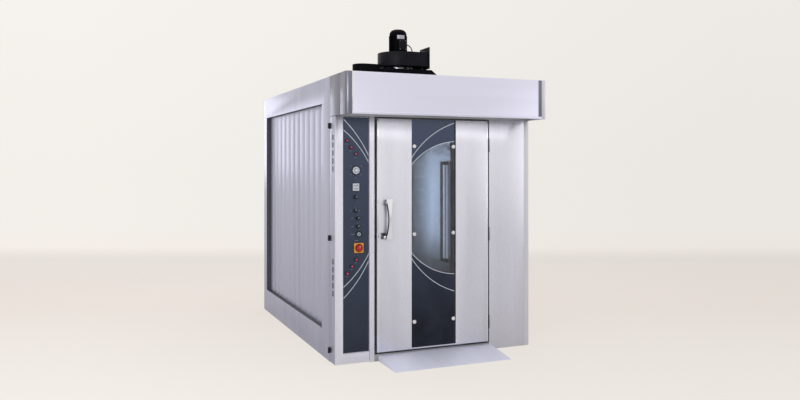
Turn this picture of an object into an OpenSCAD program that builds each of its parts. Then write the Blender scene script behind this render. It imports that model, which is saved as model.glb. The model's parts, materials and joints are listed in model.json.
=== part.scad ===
// Rotating rack oven: a roll-in baking chamber with a full-height door, a control
// cabinet at the left front corner, a steam hood over the front and a fan on the roof.
// Millimetres. X runs right along the front, Y back into the oven, Z up.
// Modules measure from the casing's front left floor corner; placed() moves that
// corner so that the origin is the centre of the casing's footprint on the floor.

/* [Casing] */
// Width of the casing
casing_w = 1868; // [1760:4:2200]
// Depth of the casing behind its front plane
casing_d = 2650; // [2560:10:3200]
// Height of the casing and of the hood's top
casing_h = 2400; // [2340:10:2700]
// Thickness of the floor pan under the chamber
floor_pan_h = 50; // [40:1:56]
// Thickness of the side frames
side_frame_t = 55; // [50:1:62]
// Thickness of the insulated rear wall
rear_wall_t = 100; // [80:5:120]
// Thickness of the roof panel
roof_t = 30; // [20:1:40]
// Width of the seams scored in the rear wall
seam_w = 4; // [3:1:6]
// Depth of the seams scored in the rear wall
seam_depth = 3; // [2:0.5:5]

/* [Side fields] */
// Height of the plain band under each ribbed field
band_bottom = 240; // [180:5:300]
// Height of the plain band over each ribbed field
band_top = 216; // [160:4:260]
// Width of the plain band in front of each ribbed field
band_front = 237; // [180:1:300]
// Width of the plain band behind each ribbed field
band_rear = 129; // [100:1:180]
// How deep the ribbed fields lie behind the frames
field_recess = 45; // [36:1:46]
// Number of upright ribs in a field
rib_count = 12; // [6:1:20]
// Height of a rib over the grooves
rib_h = 3; // [2:0.5:4]
// Width of a groove between two ribs
groove_w = 30; // [16:1:50]
// Length of a groove's sloping flank
flank_w = 14; // [8:1:24]

/* [Front] */
// Width of the plain stile at the left corner
stile_w = 69; // [60:1:90]
// Width of the bay that holds the control panel
bay_w = 236; // [220:1:260]
// Width of the post between the control bay and the door
post_w = 42; // [36:1:60]
// Gap between the post and the door
latch_gap = 18; // [17:0.5:24]
// Gap between the door and the fixed panel, where the hinges sit
hinge_gap = 23; // [22:0.5:28]
// Depth of the posts and panels of the front
front_t = 64; // [60:1:70]
// Thickness of the portal that the door closes against
portal_t = 36; // [24:1:50]
// How far the door overlaps the portal's opening at each side and at the top
door_overlap = 56; // [44:1:70]
// Thickness of the sill plate
sill_t = 10; // [6:1:14]

/* [Door] */
// Width of the door
door_w = 1060; // [1000:1:1090]
// Height of the door's lower edge
door_bottom = 78; // [72:1:90]
// Gap between the door and the underside of the hood
door_top_gap = 15; // [10:1:25]
// How far the door stands in front of the casing
door_proud = 20; // [16:1:24]
// Gap between the door and the portal, which the gasket fills
gasket_gap = 4; // [3:0.5:6]
// Thickness of the steel skins and the outer glass
skin_t = 8; // [5:1:10]
// Width of the left steel skin
left_skin_w = 315; // [280:1:340]
// Width of the outer glass
glass_w = 423; // [380:1:460]
// Height of the steel rail under the glass
rail_h = 12; // [8:1:20]
// Margin between the glass's edge and the window through the door
window_margin = 20; // [14:1:40]
// Height of the window's lower edge above the floor
window_bottom = 690; // [500:10:900]
// Height of the door's rim above the window
window_head = 175; // [120:5:300]
// Thickness of the inner glass
inner_glass_t = 6; // [4:1:8]
// Width of the ledge that carries the inner glass
glass_ledge = 10; // [6:1:12]
// Radius of the studs that hold the outer glass
stud_r = 17; // [12:0.5:20]
// Height of the studs above the glass
stud_h = 6; // [3:0.5:10]
// Distance of the studs from the glass's edge
stud_inset = 25; // [22:1:40]
// Height of the lowest pair of studs above the floor
stud_low_z = 310; // [200:1:400]
// Distance of the highest pair of studs from the door's top
stud_drop = 231; // [150:1:320]
// Width of the gasket
gasket_w = 22; // [14:1:28]

/* [Handle] */
// Distance of the latch case's middle from the door's left edge
handle_inset = 53; // [45:1:90]
// Distance of the handle's middle from the latch case's middle
strap_off = 38; // [30:1:42]
// Height of the handle's lower end
handle_z = 1030; // [950:5:1100]
// Length of the handle
handle_len = 336; // [300:2:380]
// Width of the handle at its ends
handle_w = 60; // [54:1:66]
// Width of the handle at its waist
waist_w = 20; // [16:1:36]
// How far the handle bows out over its ends
handle_bow = 22; // [16:1:40]
// Thickness of the handle's bow
handle_t = 12; // [8:1:14]
// Height of the mounts that the handle stands on
mount_h = 40; // [36:1:50]
// Radius of the handle's pivot pin
pivot_r = 4; // [3:0.5:5]
// How far the latch bolt stands out of the door's edge
bolt_out = 13; // [8:0.5:14]
// Height and width of the latch bolt
bolt_size = 20; // [14:1:24]

/* [Hinges] */
// Number of hinges on the door
door_hinge_count = 3; // [2:1:4]
// Height of the lowest door hinge's foot
door_hinge_z = 190; // [120:10:300]
// Height of the door above its highest hinge
door_hinge_drop = 155; // [100:5:300]
// Height of a door hinge
door_hinge_h = 120; // [80:2:160]
// Radius of the door hinges' barrels
door_barrel_r = 9; // [8:0.25:9.5]
// Radius of the door hinges' pins
door_pin_r = 5; // [4:0.25:6]
// Height of a cabinet hinge
cabinet_hinge_h = 46; // [36:1:60]
// Radius of the cabinet hinges' barrels
cabinet_barrel_r = 9; // [7:0.5:10]
// Radius of the cabinet hinges' pins
cabinet_pin_r = 3; // [2.5:0.25:4]
// Clearance around pins and shafts that turn
running_fit = 0.05; // [0.02:0.01:0.09]
// Gap between faces that slide or turn on each other
face_gap = 0.3; // [0.2:0.05:0.4]

/* [Hood] */
// Height of the hood
hood_h = 340; // [300:5:380]
// How far the hood stands out in front of the casing
hood_out = 285; // [220:5:340]
// How far the hood reaches back over the casing
hood_back = 137; // [125:1:170]
// Thickness of the hood's sheets
hood_sheet = 4; // [3:0.5:5]
// Width of the hood's corner pieces along the front
corner_front = 50; // [40:1:80]
// Width of the hood's corner pieces along the sides
corner_side = 150; // [100:5:200]
// Outer radius of the hood's corners
corner_r = 28; // [15:1:36]
// Height of the lip along the hood's lower edge
lip_h = 18; // [10:1:30]
// How far the lip stands out
lip_out = 2; // [1:0.5:3]
// Height of the grease baffle over the hood's lower edge
baffle_up = 40; // [25:1:60]
// Thickness of the grease baffle
baffle_t = 12; // [8:1:16]
// Number of slots in the grease baffle
baffle_slots = 34; // [16:1:40]

/* [Chamber] */
// Width of the baking chamber
chamber_w = 1350; // [1300:10:1370]
// Depth of the baking chamber between the portal and the air wall
chamber_len = 1400; // [1340:10:1450]
// Thickness of the chamber's walls
wall_t = 10; // [6:1:12]
// Thickness of the air wall
air_wall_t = 12; // [8:1:16]
// Height of the grille that draws the air back
grille_h = 300; // [200:10:360]
// Width of the grille
grille_w = 466; // [300:2:500]
// Number of slots in the grille
grille_slots = 17; // [9:1:21]
// Number of rows of air slots
slot_rows = 14; // [8:1:18]
// Height of an air slot
slot_h = 22; // [12:1:30]
// Length of an air slot
slot_len = 300; // [200:10:340]
// Width of the lamp column on the chamber's wall
lamp_w = 124; // [100:2:150]
// Height of the lamp column's foot above the floor
lamp_z = 650; // [500:10:800]
// Distance of the lamp column's top from the chamber's ceiling
lamp_drop = 370; // [250:10:500]
// Distance of the lamp column's middle from the air wall
lamp_back = 366; // [200:2:500]
// Depth of the lamp column
lamp_t = 32; // [24:1:40]

/* [Rack drive] */
// Radius of the carrier's shaft
carrier_shaft_r = 25; // [20:1:30]
// Length of the carrier's beam
carrier_len = 720; // [600:10:800]
// Height of the gap between the carrier's beam and the ceiling
carrier_drop = 90; // [60:5:110]
// Height of the carrier's hooks
hook_h = 70; // [50:2:90]
// Width of the drive's gearbox
gearbox_w = 190; // [150:2:230]
// Height of the drive's gearbox
gearbox_h = 154; // [140:2:180]
// Radius of the drive's motor
gear_motor_r = 74; // [60:1:80]
// Length of the drive's motor
gear_motor_len = 305; // [240:5:340]

/* [Air circulation] */
// Radius of the circulation fan's wheel
wheel_r = 280; // [200:5:340]
// Height of the circulation fan's wheel
wheel_h = 150; // [100:5:180]
// Radius of the circulation fan's shaft
wheel_shaft_r = 19; // [15:1:24]
// Number of blades on the circulation fan's wheel
wheel_blades = 10; // [6:1:14]
// Radius of the heating tubes
heater_r = 7; // [5:0.5:9]
// Height of the circulation motor
wheel_motor_h = 258; // [200:2:300]
// Radius of the circulation motor
wheel_motor_r = 112; // [90:1:130]
// Number of heating hairpins in a column
heater_rows = 6; // [4:1:7]
// Number of trays in the steam generator
steam_trays = 9; // [6:1:10]
// Radius of the water pipe
water_pipe_r = 11; // [8:0.5:13]
// How far the water pipe stands out behind the oven
water_stub = 60; // [40:5:100]

/* [Extraction fan] */
// Distance of the extraction fan's axis from the casing's left side
fan_x = 687; // [620:1:760]
// Distance of the extraction fan's axis behind the front plane
fan_y = 300; // [280:1:340]
// Height of the fan's suction box
plenum_h = 92; // [80:1:110]
// Height of the collar between the suction box and the scroll
collar_h = 30; // [20:1:40]
// Height of the fan's scroll
scroll_h = 123; // [110:1:170]
// Largest radius of the scroll
scroll_r = 203; // [180:1:205]
// Radius of the scroll where its spiral starts
scroll_start_r = 150; // [138:1:156]
// Width of the scroll's outlet
outlet_w = 150; // [130:1:160]
// Distance of the outlet flange from the fan's axis
outlet_reach = 210; // [200:1:340]
// Distance of the outlet flange's edge from its bolt holes
flange_margin = 11; // [9:0.5:20]
// Distance between the flange's bolt holes
flange_pitch = 168; // [164:1:196]
// Radius of the flange's bolt holes
flange_hole_r = 4.5; // [3.5:0.5:5.5]
// Radius of the extraction impeller
impeller_r = 118; // [90:1:125]
// Radius of the extraction motor
motor_r = 77; // [60:1:85]
// Height of the extraction motor
motor_h = 217; // [180:1:240]
// Radius of the motor's cable
cable_r = 4.5; // [3:0.5:6]

/* [Controls] */
// Thickness of the control panel's plate
fascia_t = 8; // [6:1:9]
// Depth of the bay behind the front plane
bay_recess = 12; // [11:0.5:16]
// Height of the plinth under the control panel
plinth_h = 88; // [70:1:120]
// Radius of the signal lamps
lamp_r = 12; // [9:0.5:14]
// Radius of the thermostat dial
dial_r = 37; // [30:1:40]
// Radius of the selector knobs
knob_r = 15; // [12:0.5:18]
// Radius of the start button's ring
ring_r = 24; // [20:0.5:26]
// Travel of the start button
button_travel = 4; // [2:0.5:6]
// Size of the main switch's plate
switch_size = 80; // [70:1:90]

/* [Ramp] */
// Width of the ramp
ramp_w = 1070; // [1000:1:1095]
// Length of the ramp
ramp_len = 380; // [300:5:420]
// Height of the ramp's upper edge
ramp_h = 52; // [46:1:56]
// Thickness of the ramp's plate
ramp_t = 4; // [3:0.5:6]

/* [Hidden] */
$fn = 64;

// Colours as the oven wears them
steel = [0.78, 0.78, 0.82];
bright_steel = [0.88, 0.88, 0.91];
dull_steel = [0.55, 0.56, 0.58];
slate = [0.24, 0.27, 0.34];
fan_black = [0.10, 0.10, 0.13];
plastic_black = [0.07, 0.07, 0.08];
wool = [0.80, 0.74, 0.55];
seal_black = [0.15, 0.15, 0.15];

// A cut runs this far past the faces that it opens
cut = 1;

// Places worked out from the sizes above, from left to right along the front
bay_x0 = stile_w;
post_x0 = bay_x0 + bay_w;
post_x1 = post_x0 + post_w;
door_x0 = post_x1 + latch_gap;
door_x1 = door_x0 + door_w;
ramp_inset = 18;
fixed_x0 = door_x1 + hinge_gap;
inner_x0 = side_frame_t;
inner_x1 = casing_w - side_frame_t;
chamber_mid_x = (door_x0 + door_x1) / 2;
chamber_x0 = chamber_mid_x - chamber_w / 2;
chamber_x1 = chamber_mid_x + chamber_w / 2;

// From front to back
portal_y0 = front_t;
portal_y1 = front_t + portal_t;
chamber_y0 = portal_y1;
chamber_y1 = chamber_y0 + chamber_len;
heat_y0 = chamber_y1 + air_wall_t;
rear_y = casing_d - rear_wall_t;
door_y0 = -door_proud;
door_y1 = portal_y0 - gasket_gap;
core_y0 = door_y0 + skin_t;
field_y0 = hood_back + band_front;
field_y1 = casing_d - band_rear;
rack_y = (chamber_y0 + chamber_y1) / 2;
wheel_y = (heat_y0 + rear_y) / 2;

// From the floor up
hood_z0 = casing_h - hood_h;
roof_z0 = casing_h - roof_t;
door_top = hood_z0 - door_top_gap;
chamber_z0 = floor_pan_h + sill_t;
chamber_z1 = hood_z0;
field_z0 = band_bottom;
field_z1 = casing_h - band_top;

// The door's window and glass
glass_x0 = door_x0 + left_skin_w;
glass_x1 = glass_x0 + glass_w;
window_x0 = glass_x0 + window_margin;
window_x1 = glass_x1 - window_margin;
portal_x0 = door_x0 + door_overlap;
portal_x1 = door_x1 - door_overlap;
portal_z1 = door_top - door_overlap;
window_top = door_top - window_head;
stud_pitch = (door_top - stud_drop - stud_low_z) / 2;

// The control cabinet behind the left front corner
bay_gap = 3;
cabinet_sheet = 3;
cabinet_flange = 25;
cabinet_door_foot = 6;
cabinet_x1 = chamber_x0 - wall_t - 48;
cabinet_y1 = hood_back + 108;
liner_t = 5;
bay_floor_y = bay_recess;
fascia_x0 = bay_x0 + bay_gap + cabinet_sheet;
fascia_x1 = post_x0 - 2 * bay_gap - cabinet_sheet;
fascia_y = bay_floor_y - fascia_t;
fascia_z0 = plinth_h + 2 * bay_gap;
fascia_z1 = hood_z0 - 3 * bay_gap;
cabinet_axis_x = -(cabinet_barrel_r + 1);
cabinet_axis_y = hood_back - bay_gap / 2;
cabinet_leaf_t = 5;
cabinet_leaf_w = 26;
cabinet_hinge_zs = [100, (hood_z0 + 22) / 2, hood_z0 - 77];

vent_y = 54;
vent_w = 26;
vent_len = 46;
vent_pitch = 66;
vent_count = 5;
vent_low_z = 564;
vent_high_z = hood_z0 - 463;
tray_rows = 7;

// The door's hinge axis and hinges
door_axis_x = door_x1 + hinge_gap / 2;
door_axis_y = -door_barrel_r;
door_leaf_t = 5;
door_leaf_w = 46;
door_hinge_pitch = (door_top - door_hinge_drop - door_hinge_h - door_hinge_z)
    / (door_hinge_count - 1);
door_hinge_zs = [for (i = [0 : door_hinge_count - 1]) door_hinge_z + i * door_hinge_pitch];

// The handle's pivot and the latch bolt
handle_x = door_x0 + handle_inset;
strap_x = handle_x + strap_off;
foot_x = handle_x + 12;
handle_mid_z = handle_z + handle_len / 2;
pivot_z = handle_z + 20;
pivot_y = door_y0 - 16;
boss_r = 11;
ear_t = 8;
lug_w = 28;
foot_w = 22;
arm_gap = 6;
foot_z = handle_z + handle_len - 38;
mount_w = lug_w + 2 * (ear_t + face_gap);
bow_r = (pow(handle_len / 2, 2) + pow(handle_bow, 2)) / (2 * handle_bow);
bow_centre_y = door_y0 - mount_h - handle_t - handle_bow + bow_r;
waist_in = (handle_w - waist_w) / 2;
waist_curve_r = (pow(handle_len / 2, 2) + pow(waist_in, 2)) / (2 * waist_in);
bolt_len = 90;
bolt_travel = bolt_out + 3;
bolt_y = (core_y0 + door_y1) / 2;

// Controls: offsets from the bay's left edge, and heights up a panel of the usual
// height, which grow and shrink with the panel
usual_panel_h = 1957;
function up_panel(h) = fascia_z0 + h * (fascia_z1 - fascia_z0) / usual_panel_h;
upper_lamps = [[32, up_panel(1762)], [69, up_panel(1706)], [108, up_panel(1651)]];
lower_lamps = [[115, up_panel(773)], [77, up_panel(719)], [36, up_panel(662)]];
dial_at = [115, up_panel(1515)];
display_at = [114, up_panel(1376)];
timer_at = [108, up_panel(1293)];
steam_at = [108, up_panel(1179)];
fan_at = [129, up_panel(1116)];
light_at = [129, up_panel(1047)];
start_at = [138, up_panel(984)];
switch_at = [138, up_panel(869)];
lamp_out = 18;
lens_t = 4;
knob_h = 18;
knob_shaft_r = 3;
shaft_past = 8;
button_r = ring_r * 2 / 3;
ring_h = 9;
button_shown = 5;
switch_t = 12;
switch_knob_r = 25;
switch_knob_h = 26;
display_w = 66;
display_h = 62;
display_out = 5;
dial_h = 22;

// Roof and shafts
suction_y0 = 100;
suction_y1 = suction_y0 + 370;
suction_x0 = fan_x - 207;
suction_x1 = fan_x + 355;
suction_slope = 115;
suction_wall = 4;
duct_w = 400;
duct_y0 = suction_y0 + 5;
duct_y1 = hood_back - 5;
duct_h = 106;
low_duct_r = 90;
low_duct_h = 135;
scroll_z0 = casing_h + plenum_h + collar_h;
scroll_z1 = scroll_z0 + scroll_h;
scroll_wall = 4;
scroll_steps = 32;
collar_r = 90;
collar_wall = 6;
outlet_y0 = fan_y - scroll_r;
outlet_y1 = outlet_y0 + outlet_w;
outlet_x = fan_x + outlet_reach;
flange_t = 10;
flange_size = flange_pitch + 2 * flange_margin;
flange_z = casing_h + plenum_h + 8 + flange_size / 2;
impeller_shaft_r = 12;
motor_flange_t = 8;
terminal_box_w = 62;
shaft_grip = 40;
wheel_grip = 80;
drive_grip = 120;
drive_foot_t = 16;
hook_t = 12;
hook_reach = 52;
guard_gap = 12;
gland_h = 8;
cable_bend = 64;
cable_x0 = fan_x + 38;
cable_x1 = cable_x0 + cable_bend;
cable_y = fan_y - motor_r - 6;
cable_z = scroll_z1 + 76;
heater_bend = 70;
heater_head = 310;
heater_end = 150;
heater_foot = 160;
heater_off = 110;
heater_apart = 90;
header_t = 8;
header_w = 48;
header_past = 40;
comb_t = 6;
comb_w = 24;
wheel_drop = 60;
pipe_drop = 500;
pipe_z = chamber_z1 - pipe_drop;
inlet_r = 13;
lamp_y = chamber_y1 - lamp_back;
lamp_top = chamber_z1 - lamp_drop;
lamp_rim = 15;
lamp_cap = 36;
lamp_sunk = 6;

// ---------- helpers ----------

// Moves the casing's front left corner away so that its footprint is centred
module placed() translate([-casing_w / 2, -casing_d / 2, 0]) children();

// A box between two places in each direction
module block(x, y, z)
    translate([x[0], y[0], z[0]]) cube([x[1] - x[0], y[1] - y[0], z[1] - z[0]]);

// A profile drawn as [depth, height], run to the right from x0 over a length
module run_x(x0, length)
    translate([x0, 0, 0]) rotate([90, 0, 90]) linear_extrude(length) children();

// A round bar whose axis runs back into the oven
module bar_y(x, z, y0, y1, r)
    translate([x, y0, z]) rotate([-90, 0, 0]) cylinder(h = y1 - y0, r = r);

// A round bar whose axis runs along the front
module bar_x(y, z, x0, x1, r)
    translate([x0, y, z]) rotate([0, 90, 0]) cylinder(h = x1 - x0, r = r);

// A round bar standing upright
module bar_z(x, y, z0, z1, r)
    translate([x, y, z0]) cylinder(h = z1 - z0, r = r);

// The same thing on the casing's right side
module on_right_side() translate([casing_w, 0, 0]) mirror([1, 0, 0]) children();

// A plan with its corner at the origin rounded
module rounded_corner(w, d, r) {
    translate([r, 0]) square([w - r, d]);
    translate([0, r]) square([w, d - r]);
    translate([r, r]) circle(r);
}

// Points of an arc around a centre, from one angle to another
function arc(centre, r, from, to, steps) =
    [for (i = [0 : steps]) let (a = from + (to - from) * i / steps)
        centre + r * [cos(a), sin(a)]];

// ---------- casing ----------

// Floor pan: the insulated slab that carries the chamber, cut back at the front
// left corner for the cabinet door and the latch post
module base_pan() color(dull_steel) placed() {
    block([inner_x0, inner_x1], [hood_back, rear_y], [0, floor_pan_h]);
    block([cabinet_flange + 2 * bay_gap, post_x0], [cabinet_flange + 2 * bay_gap, hood_back],
        [0, floor_pan_h]);
    block([post_x0, inner_x1], [front_t, hood_back], [0, floor_pan_h]);
    block([post_x1, fixed_x0], [0, front_t], [0, floor_pan_h]);
    block([chamber_x0, chamber_x1], [portal_y1, rear_y], [floor_pan_h, chamber_z0]);
}

// Window of a side frame, which a ribbed field fills
module field_window(x0, x1) block([x0, x1], [field_y0, field_y1], [field_z0, field_z1]);

module left_side_frame() color(steel) placed() difference() {
    block([0, side_frame_t], [hood_back, casing_d], [0, casing_h]);
    field_window(-cut, side_frame_t + cut);
}

module right_side_frame() color(steel) placed() on_right_side() difference() {
    union() {
        block([0, side_frame_t], [hood_back, casing_d], [0, casing_h]);
        linear_extrude(hood_z0) rounded_corner(side_frame_t, hood_back, corner_r / 2);
    }
    field_window(-cut, side_frame_t + cut);
}

// Pleated sheet: upright ribs with sloping flanks, flat at the back
module ribbed_field() {
    pitch = (field_y1 - field_y0) / rib_count;
    front = [for (i = [0 : rib_count - 1]) let (y = field_y0 + i * pitch)
        each [[field_recess + rib_h, y], [field_recess + rib_h, y + groove_w / 2],
              [field_recess, y + groove_w / 2 + flank_w],
              [field_recess, y + pitch - groove_w / 2 - flank_w],
              [field_recess + rib_h, y + pitch - groove_w / 2]]];
    translate([0, 0, field_z0]) linear_extrude(field_z1 - field_z0)
        polygon(concat(front, [[field_recess + rib_h, field_y1],
                               [side_frame_t, field_y1], [side_frame_t, field_y0]]));
}

module left_ribbed_field() color(steel) placed() ribbed_field();

module right_ribbed_field() color(steel) placed() on_right_side() ribbed_field();

// Rear wall: an insulated panel of three sheets, with its seams scored in
module rear_wall() color(steel) placed() difference() {
    block([inner_x0, inner_x1], [rear_y, casing_d], [0, roof_z0]);
    for (i = [1, 2]) let (x = inner_x0 + i * (inner_x1 - inner_x0) / 3)
        block([x - seam_w / 2, x + seam_w / 2], [casing_d - seam_depth, casing_d + cut],
            [-cut, roof_z0 + cut]);
    bar_y(chamber_mid_x, pipe_z, rear_y - cut, casing_d + cut, water_pipe_r + face_gap);
}

module roof_panel() color(steel) placed() difference() {
    block([inner_x0, inner_x1], [hood_back, casing_d], [roof_z0, casing_h]);
    shaft_ways(roof_z0 - cut, casing_h + cut);
}

// Ways for the carrier's shaft and the circulation fan's shaft
module shaft_ways(z0, z1) {
    bar_z(chamber_mid_x, rack_y, z0, z1, carrier_shaft_r + guard_gap);
    bar_z(chamber_mid_x, wheel_y, z0, z1, wheel_shaft_r + guard_gap);
}

// Mineral wool between the casing and the chamber's walls: left, right and above
module insulation() color(wool) placed() {
    block([inner_x0, chamber_x0 - wall_t], [cabinet_y1 + liner_t, rear_y],
        [floor_pan_h, chamber_z1]);
    block([chamber_x1 + wall_t, inner_x1], [portal_y1, rear_y], [floor_pan_h, chamber_z1]);
    difference() {
        block([inner_x0, inner_x1], [hood_back, rear_y], [chamber_z1 + wall_t, roof_z0]);
        shaft_ways(chamber_z1, roof_z0 + cut);
    }
}

// ---------- chamber ----------

module chamber_left_wall() color(bright_steel) placed()
    block([chamber_x0 - wall_t, chamber_x0], [portal_y1, rear_y], [floor_pan_h, chamber_z1]);

module chamber_right_wall() color(bright_steel) placed()
    block([chamber_x1, chamber_x1 + wall_t], [portal_y1, rear_y], [floor_pan_h, chamber_z1]);

module chamber_ceiling() color(bright_steel) placed() difference() {
    block([inner_x0, inner_x1], [hood_back, rear_y], [chamber_z1, chamber_z1 + wall_t]);
    shaft_ways(chamber_z1 - cut, chamber_z1 + wall_t + cut);
}

// Air wall between the chamber and the heating compartment: rows of slots blow the
// hot air in at both sides, and the grille at the top middle draws it back
module air_wall() color(bright_steel) placed() difference() {
    block([chamber_x0, chamber_x1], [chamber_y1, heat_y0], [chamber_z0, chamber_z1]);
    row_pitch = (chamber_z1 - chamber_z0) / (slot_rows + 1);
    slot_side = 60;
    grille_drop = 320;
    grille_pitch = grille_w / (grille_slots - 0.4);
    for (x = [chamber_x0 + slot_side, chamber_x1 - slot_side - slot_len], i = [1 : slot_rows])
        block([x, x + slot_len], [chamber_y1 - cut, heat_y0 + cut],
            [chamber_z0 + i * row_pitch - slot_h / 2, chamber_z0 + i * row_pitch + slot_h / 2]);
    for (i = [0 : grille_slots - 1]) let (x = chamber_mid_x - grille_w / 2 + i * grille_pitch)
        block([x, x + 0.6 * grille_pitch], [chamber_y1 - cut, heat_y0 + cut],
            [chamber_z1 - grille_drop - grille_h, chamber_z1 - grille_drop]);
}

// Lamp column on the right wall: a housing with its long glass
module chamber_lamp() color(bright_steel) placed() difference() {
    block([chamber_x1 - lamp_t, chamber_x1], [lamp_y - lamp_w / 2, lamp_y + lamp_w / 2],
        [lamp_z, lamp_top]);
    block([chamber_x1 - lamp_t - cut, chamber_x1 - lamp_t + lamp_sunk],
        [lamp_y - lamp_w / 2 + lamp_rim, lamp_y + lamp_w / 2 - lamp_rim],
        [lamp_z + lamp_cap, lamp_top - lamp_cap]);
}

// ---------- front ----------

// Portal that the door closes against, with the sill under the door
module door_portal() color(dull_steel) placed() {
    difference() {
        block([cabinet_x1, inner_x1], [portal_y0, portal_y1], [floor_pan_h, hood_z0]);
        block([portal_x0, portal_x1], [portal_y0 - cut, portal_y1 + cut],
            [chamber_z0, portal_z1]);
    }
    block([post_x1, fixed_x0], [0, portal_y0], [floor_pan_h, chamber_z0]);
}

// Post beside the door, with a scored centre line and the keeper's hollow
module latch_post() color(bright_steel) placed() difference() {
    block([post_x0, post_x1], [0, front_t], [0, hood_z0]);
    block([(post_x0 + post_x1 - seam_w) / 2, (post_x0 + post_x1 + seam_w) / 2],
        [-cut, seam_depth], [-cut, hood_z0 + cut]);
    block([post_x1 - 6, post_x1 + cut], [bolt_y - bolt_size, bolt_y + bolt_size],
        [pivot_z - bolt_size, pivot_z + bolt_size]);
}

// Fixed panel at the right of the door
module fixed_front_panel() color(steel) placed()
    block([fixed_x0, inner_x1], [0, front_t], [0, hood_z0]);

// Insulated head over the door; its notch leads the steam up to the fan
module front_head() color(steel) placed() difference() {
    block([hood_sheet, casing_w - hood_sheet], [0, hood_back], [hood_z0, casing_h - hood_sheet]);
    block([fan_x - duct_w / 2, fan_x + duct_w / 2], [-cut, duct_y1],
        [casing_h - hood_sheet - duct_h, casing_h]);
}

// Ramp: a bent plate on two cheeks and inner webs
module ramp() color(steel) placed() {
    x0 = door_x0 + ramp_inset;
    webs = 5;
    run_x(x0, ramp_w)
        polygon([[-ramp_len, 0], [0, ramp_h], [0, ramp_h - ramp_t],
                 [-ramp_len + ramp_t * ramp_len / ramp_h, 0]]);
    for (i = [0 : webs - 1])
        run_x(x0 + i * (ramp_w - ramp_t) / (webs - 1), ramp_t)
            polygon([[-ramp_len + 4 * ramp_t, 0], [-ramp_len + 4 * ramp_t, 4 * ramp_t * ramp_h / ramp_len],
                     [0, ramp_h], [0, 0]]);
}

// ---------- hood ----------

// Front sheet: flat, with a lip along its lower edge and a flange turned inwards
module hood_front() color(bright_steel) placed() {
    x0 = corner_front;
    run_x(x0, casing_w - 2 * corner_front)
        polygon([[-hood_out, casing_h], [-hood_out, hood_z0 + lip_h + lip_out],
                 [-hood_out - lip_out, hood_z0 + lip_h], [-hood_out - lip_out, hood_z0],
                 [-hood_out + lip_h, hood_z0], [-hood_out + lip_h, hood_z0 + hood_sheet],
                 [-hood_out + hood_sheet, hood_z0 + hood_sheet],
                 [-hood_out + hood_sheet, casing_h]]);
}

// One end of the hood: the rounded corner piece and the side sheet behind it,
// with the seam between them scored in
module hood_end() {
    inner_r = corner_r - hood_sheet;
    block([corner_r, corner_front], [-hood_out, -hood_out + hood_sheet], [hood_z0, casing_h]);
    translate([corner_r, -hood_out + corner_r, hood_z0]) rotate(180)
        rotate_extrude(angle = 90) translate([inner_r, 0]) square([hood_sheet, hood_h]);
    difference() {
        block([0, hood_sheet], [-hood_out + corner_r, hood_back], [hood_z0, casing_h]);
        seam_y = -hood_out + corner_side;
        block([-cut, hood_sheet / 2], [seam_y - seam_w / 2, seam_y + seam_w / 2],
            [hood_z0 - cut, casing_h + cut]);
    }
}

module hood_ends() color(steel) placed() {
    hood_end();
    on_right_side() hood_end();
}

// Top sheet, with the slot under the suction box
module hood_top() color(steel) placed() difference() {
    w = casing_w - 2 * hood_sheet;
    translate([hood_sheet, -hood_out + hood_sheet, casing_h - hood_sheet])
        linear_extrude(hood_sheet) intersection() {
            rounded_corner(w, hood_out + hood_back - hood_sheet, corner_r);
            translate([w, 0]) mirror([1, 0])
                rounded_corner(w, hood_out + hood_back - hood_sheet, corner_r);
        }
    block([fan_x - duct_w / 2, fan_x + duct_w / 2], [duct_y0, duct_y1],
        [casing_h - hood_sheet - cut, casing_h + cut]);
}

// Grease baffle across the hood's underside
module grease_baffle() color(dull_steel) placed() difference() {
    z = hood_z0 + baffle_up;
    block([corner_front, casing_w - corner_front], [-hood_out + hood_sheet, 0], [z, z + baffle_t]);
    pitch = (casing_w - 2 * corner_front) / baffle_slots;
    for (i = [0 : baffle_slots - 1])
        block([corner_front + (i + 0.3) * pitch, corner_front + (i + 0.7) * pitch],
            [-hood_out + 30, -30], [z - cut, z + baffle_t + cut]);
}

// ---------- control cabinet ----------

// Plan of the cabinet door's bent sheet; the front leg is set back over the bay
module door_sheet_plan(bay_y) {
    front_x1 = post_x0 - bay_gap;
    leg_y1 = hood_back - bay_gap;
    square([cabinet_sheet, leg_y1]);
    square([bay_x0, cabinet_sheet]);
    translate([bay_x0 - cabinet_sheet, 0]) square([cabinet_sheet, bay_y + cabinet_sheet]);
    translate([bay_x0 - cabinet_sheet, bay_y])
        square([front_x1 - bay_x0 + cabinet_sheet, cabinet_sheet]);
    translate([front_x1 - cabinet_sheet, 0]) square([cabinet_sheet, cabinet_flange]);
    translate([0, leg_y1 - cabinet_sheet]) square([cabinet_flange, cabinet_sheet]);
}

// Cabinet door: one sheet bent round the corner, with vents in its side leg
module cabinet_door() color(bright_steel) placed() difference() {
    union() {
        translate([0, 0, cabinet_door_foot])
            linear_extrude(plinth_h - cabinet_door_foot) door_sheet_plan(0);
        translate([0, 0, plinth_h])
            linear_extrude(hood_z0 - bay_gap - plinth_h) door_sheet_plan(bay_floor_y);
        block([bay_x0 - cabinet_sheet, post_x0 - bay_gap], [0, bay_floor_y + cabinet_sheet],
            [plinth_h - cabinet_sheet, plinth_h]);
    }
    for (z0 = [vent_low_z, vent_high_z], i = [0 : vent_count - 1])
        block([-cut, cabinet_sheet + cut], [vent_y - vent_w / 2, vent_y + vent_w / 2],
            [z0 + i * vent_pitch, z0 + i * vent_pitch + vent_len]);
    control_positions(bay_floor_y - cut, bay_floor_y + cabinet_sheet + cut, knob_shaft_r + 3);
}

// Bars through every place where a control's shaft passes the panel
module control_positions(y0, y1, r) {
    for (p = [dial_at, timer_at, steam_at, fan_at, light_at, switch_at])
        bar_y(bay_x0 + p[0], p[1], y0, y1, r);
}

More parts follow.
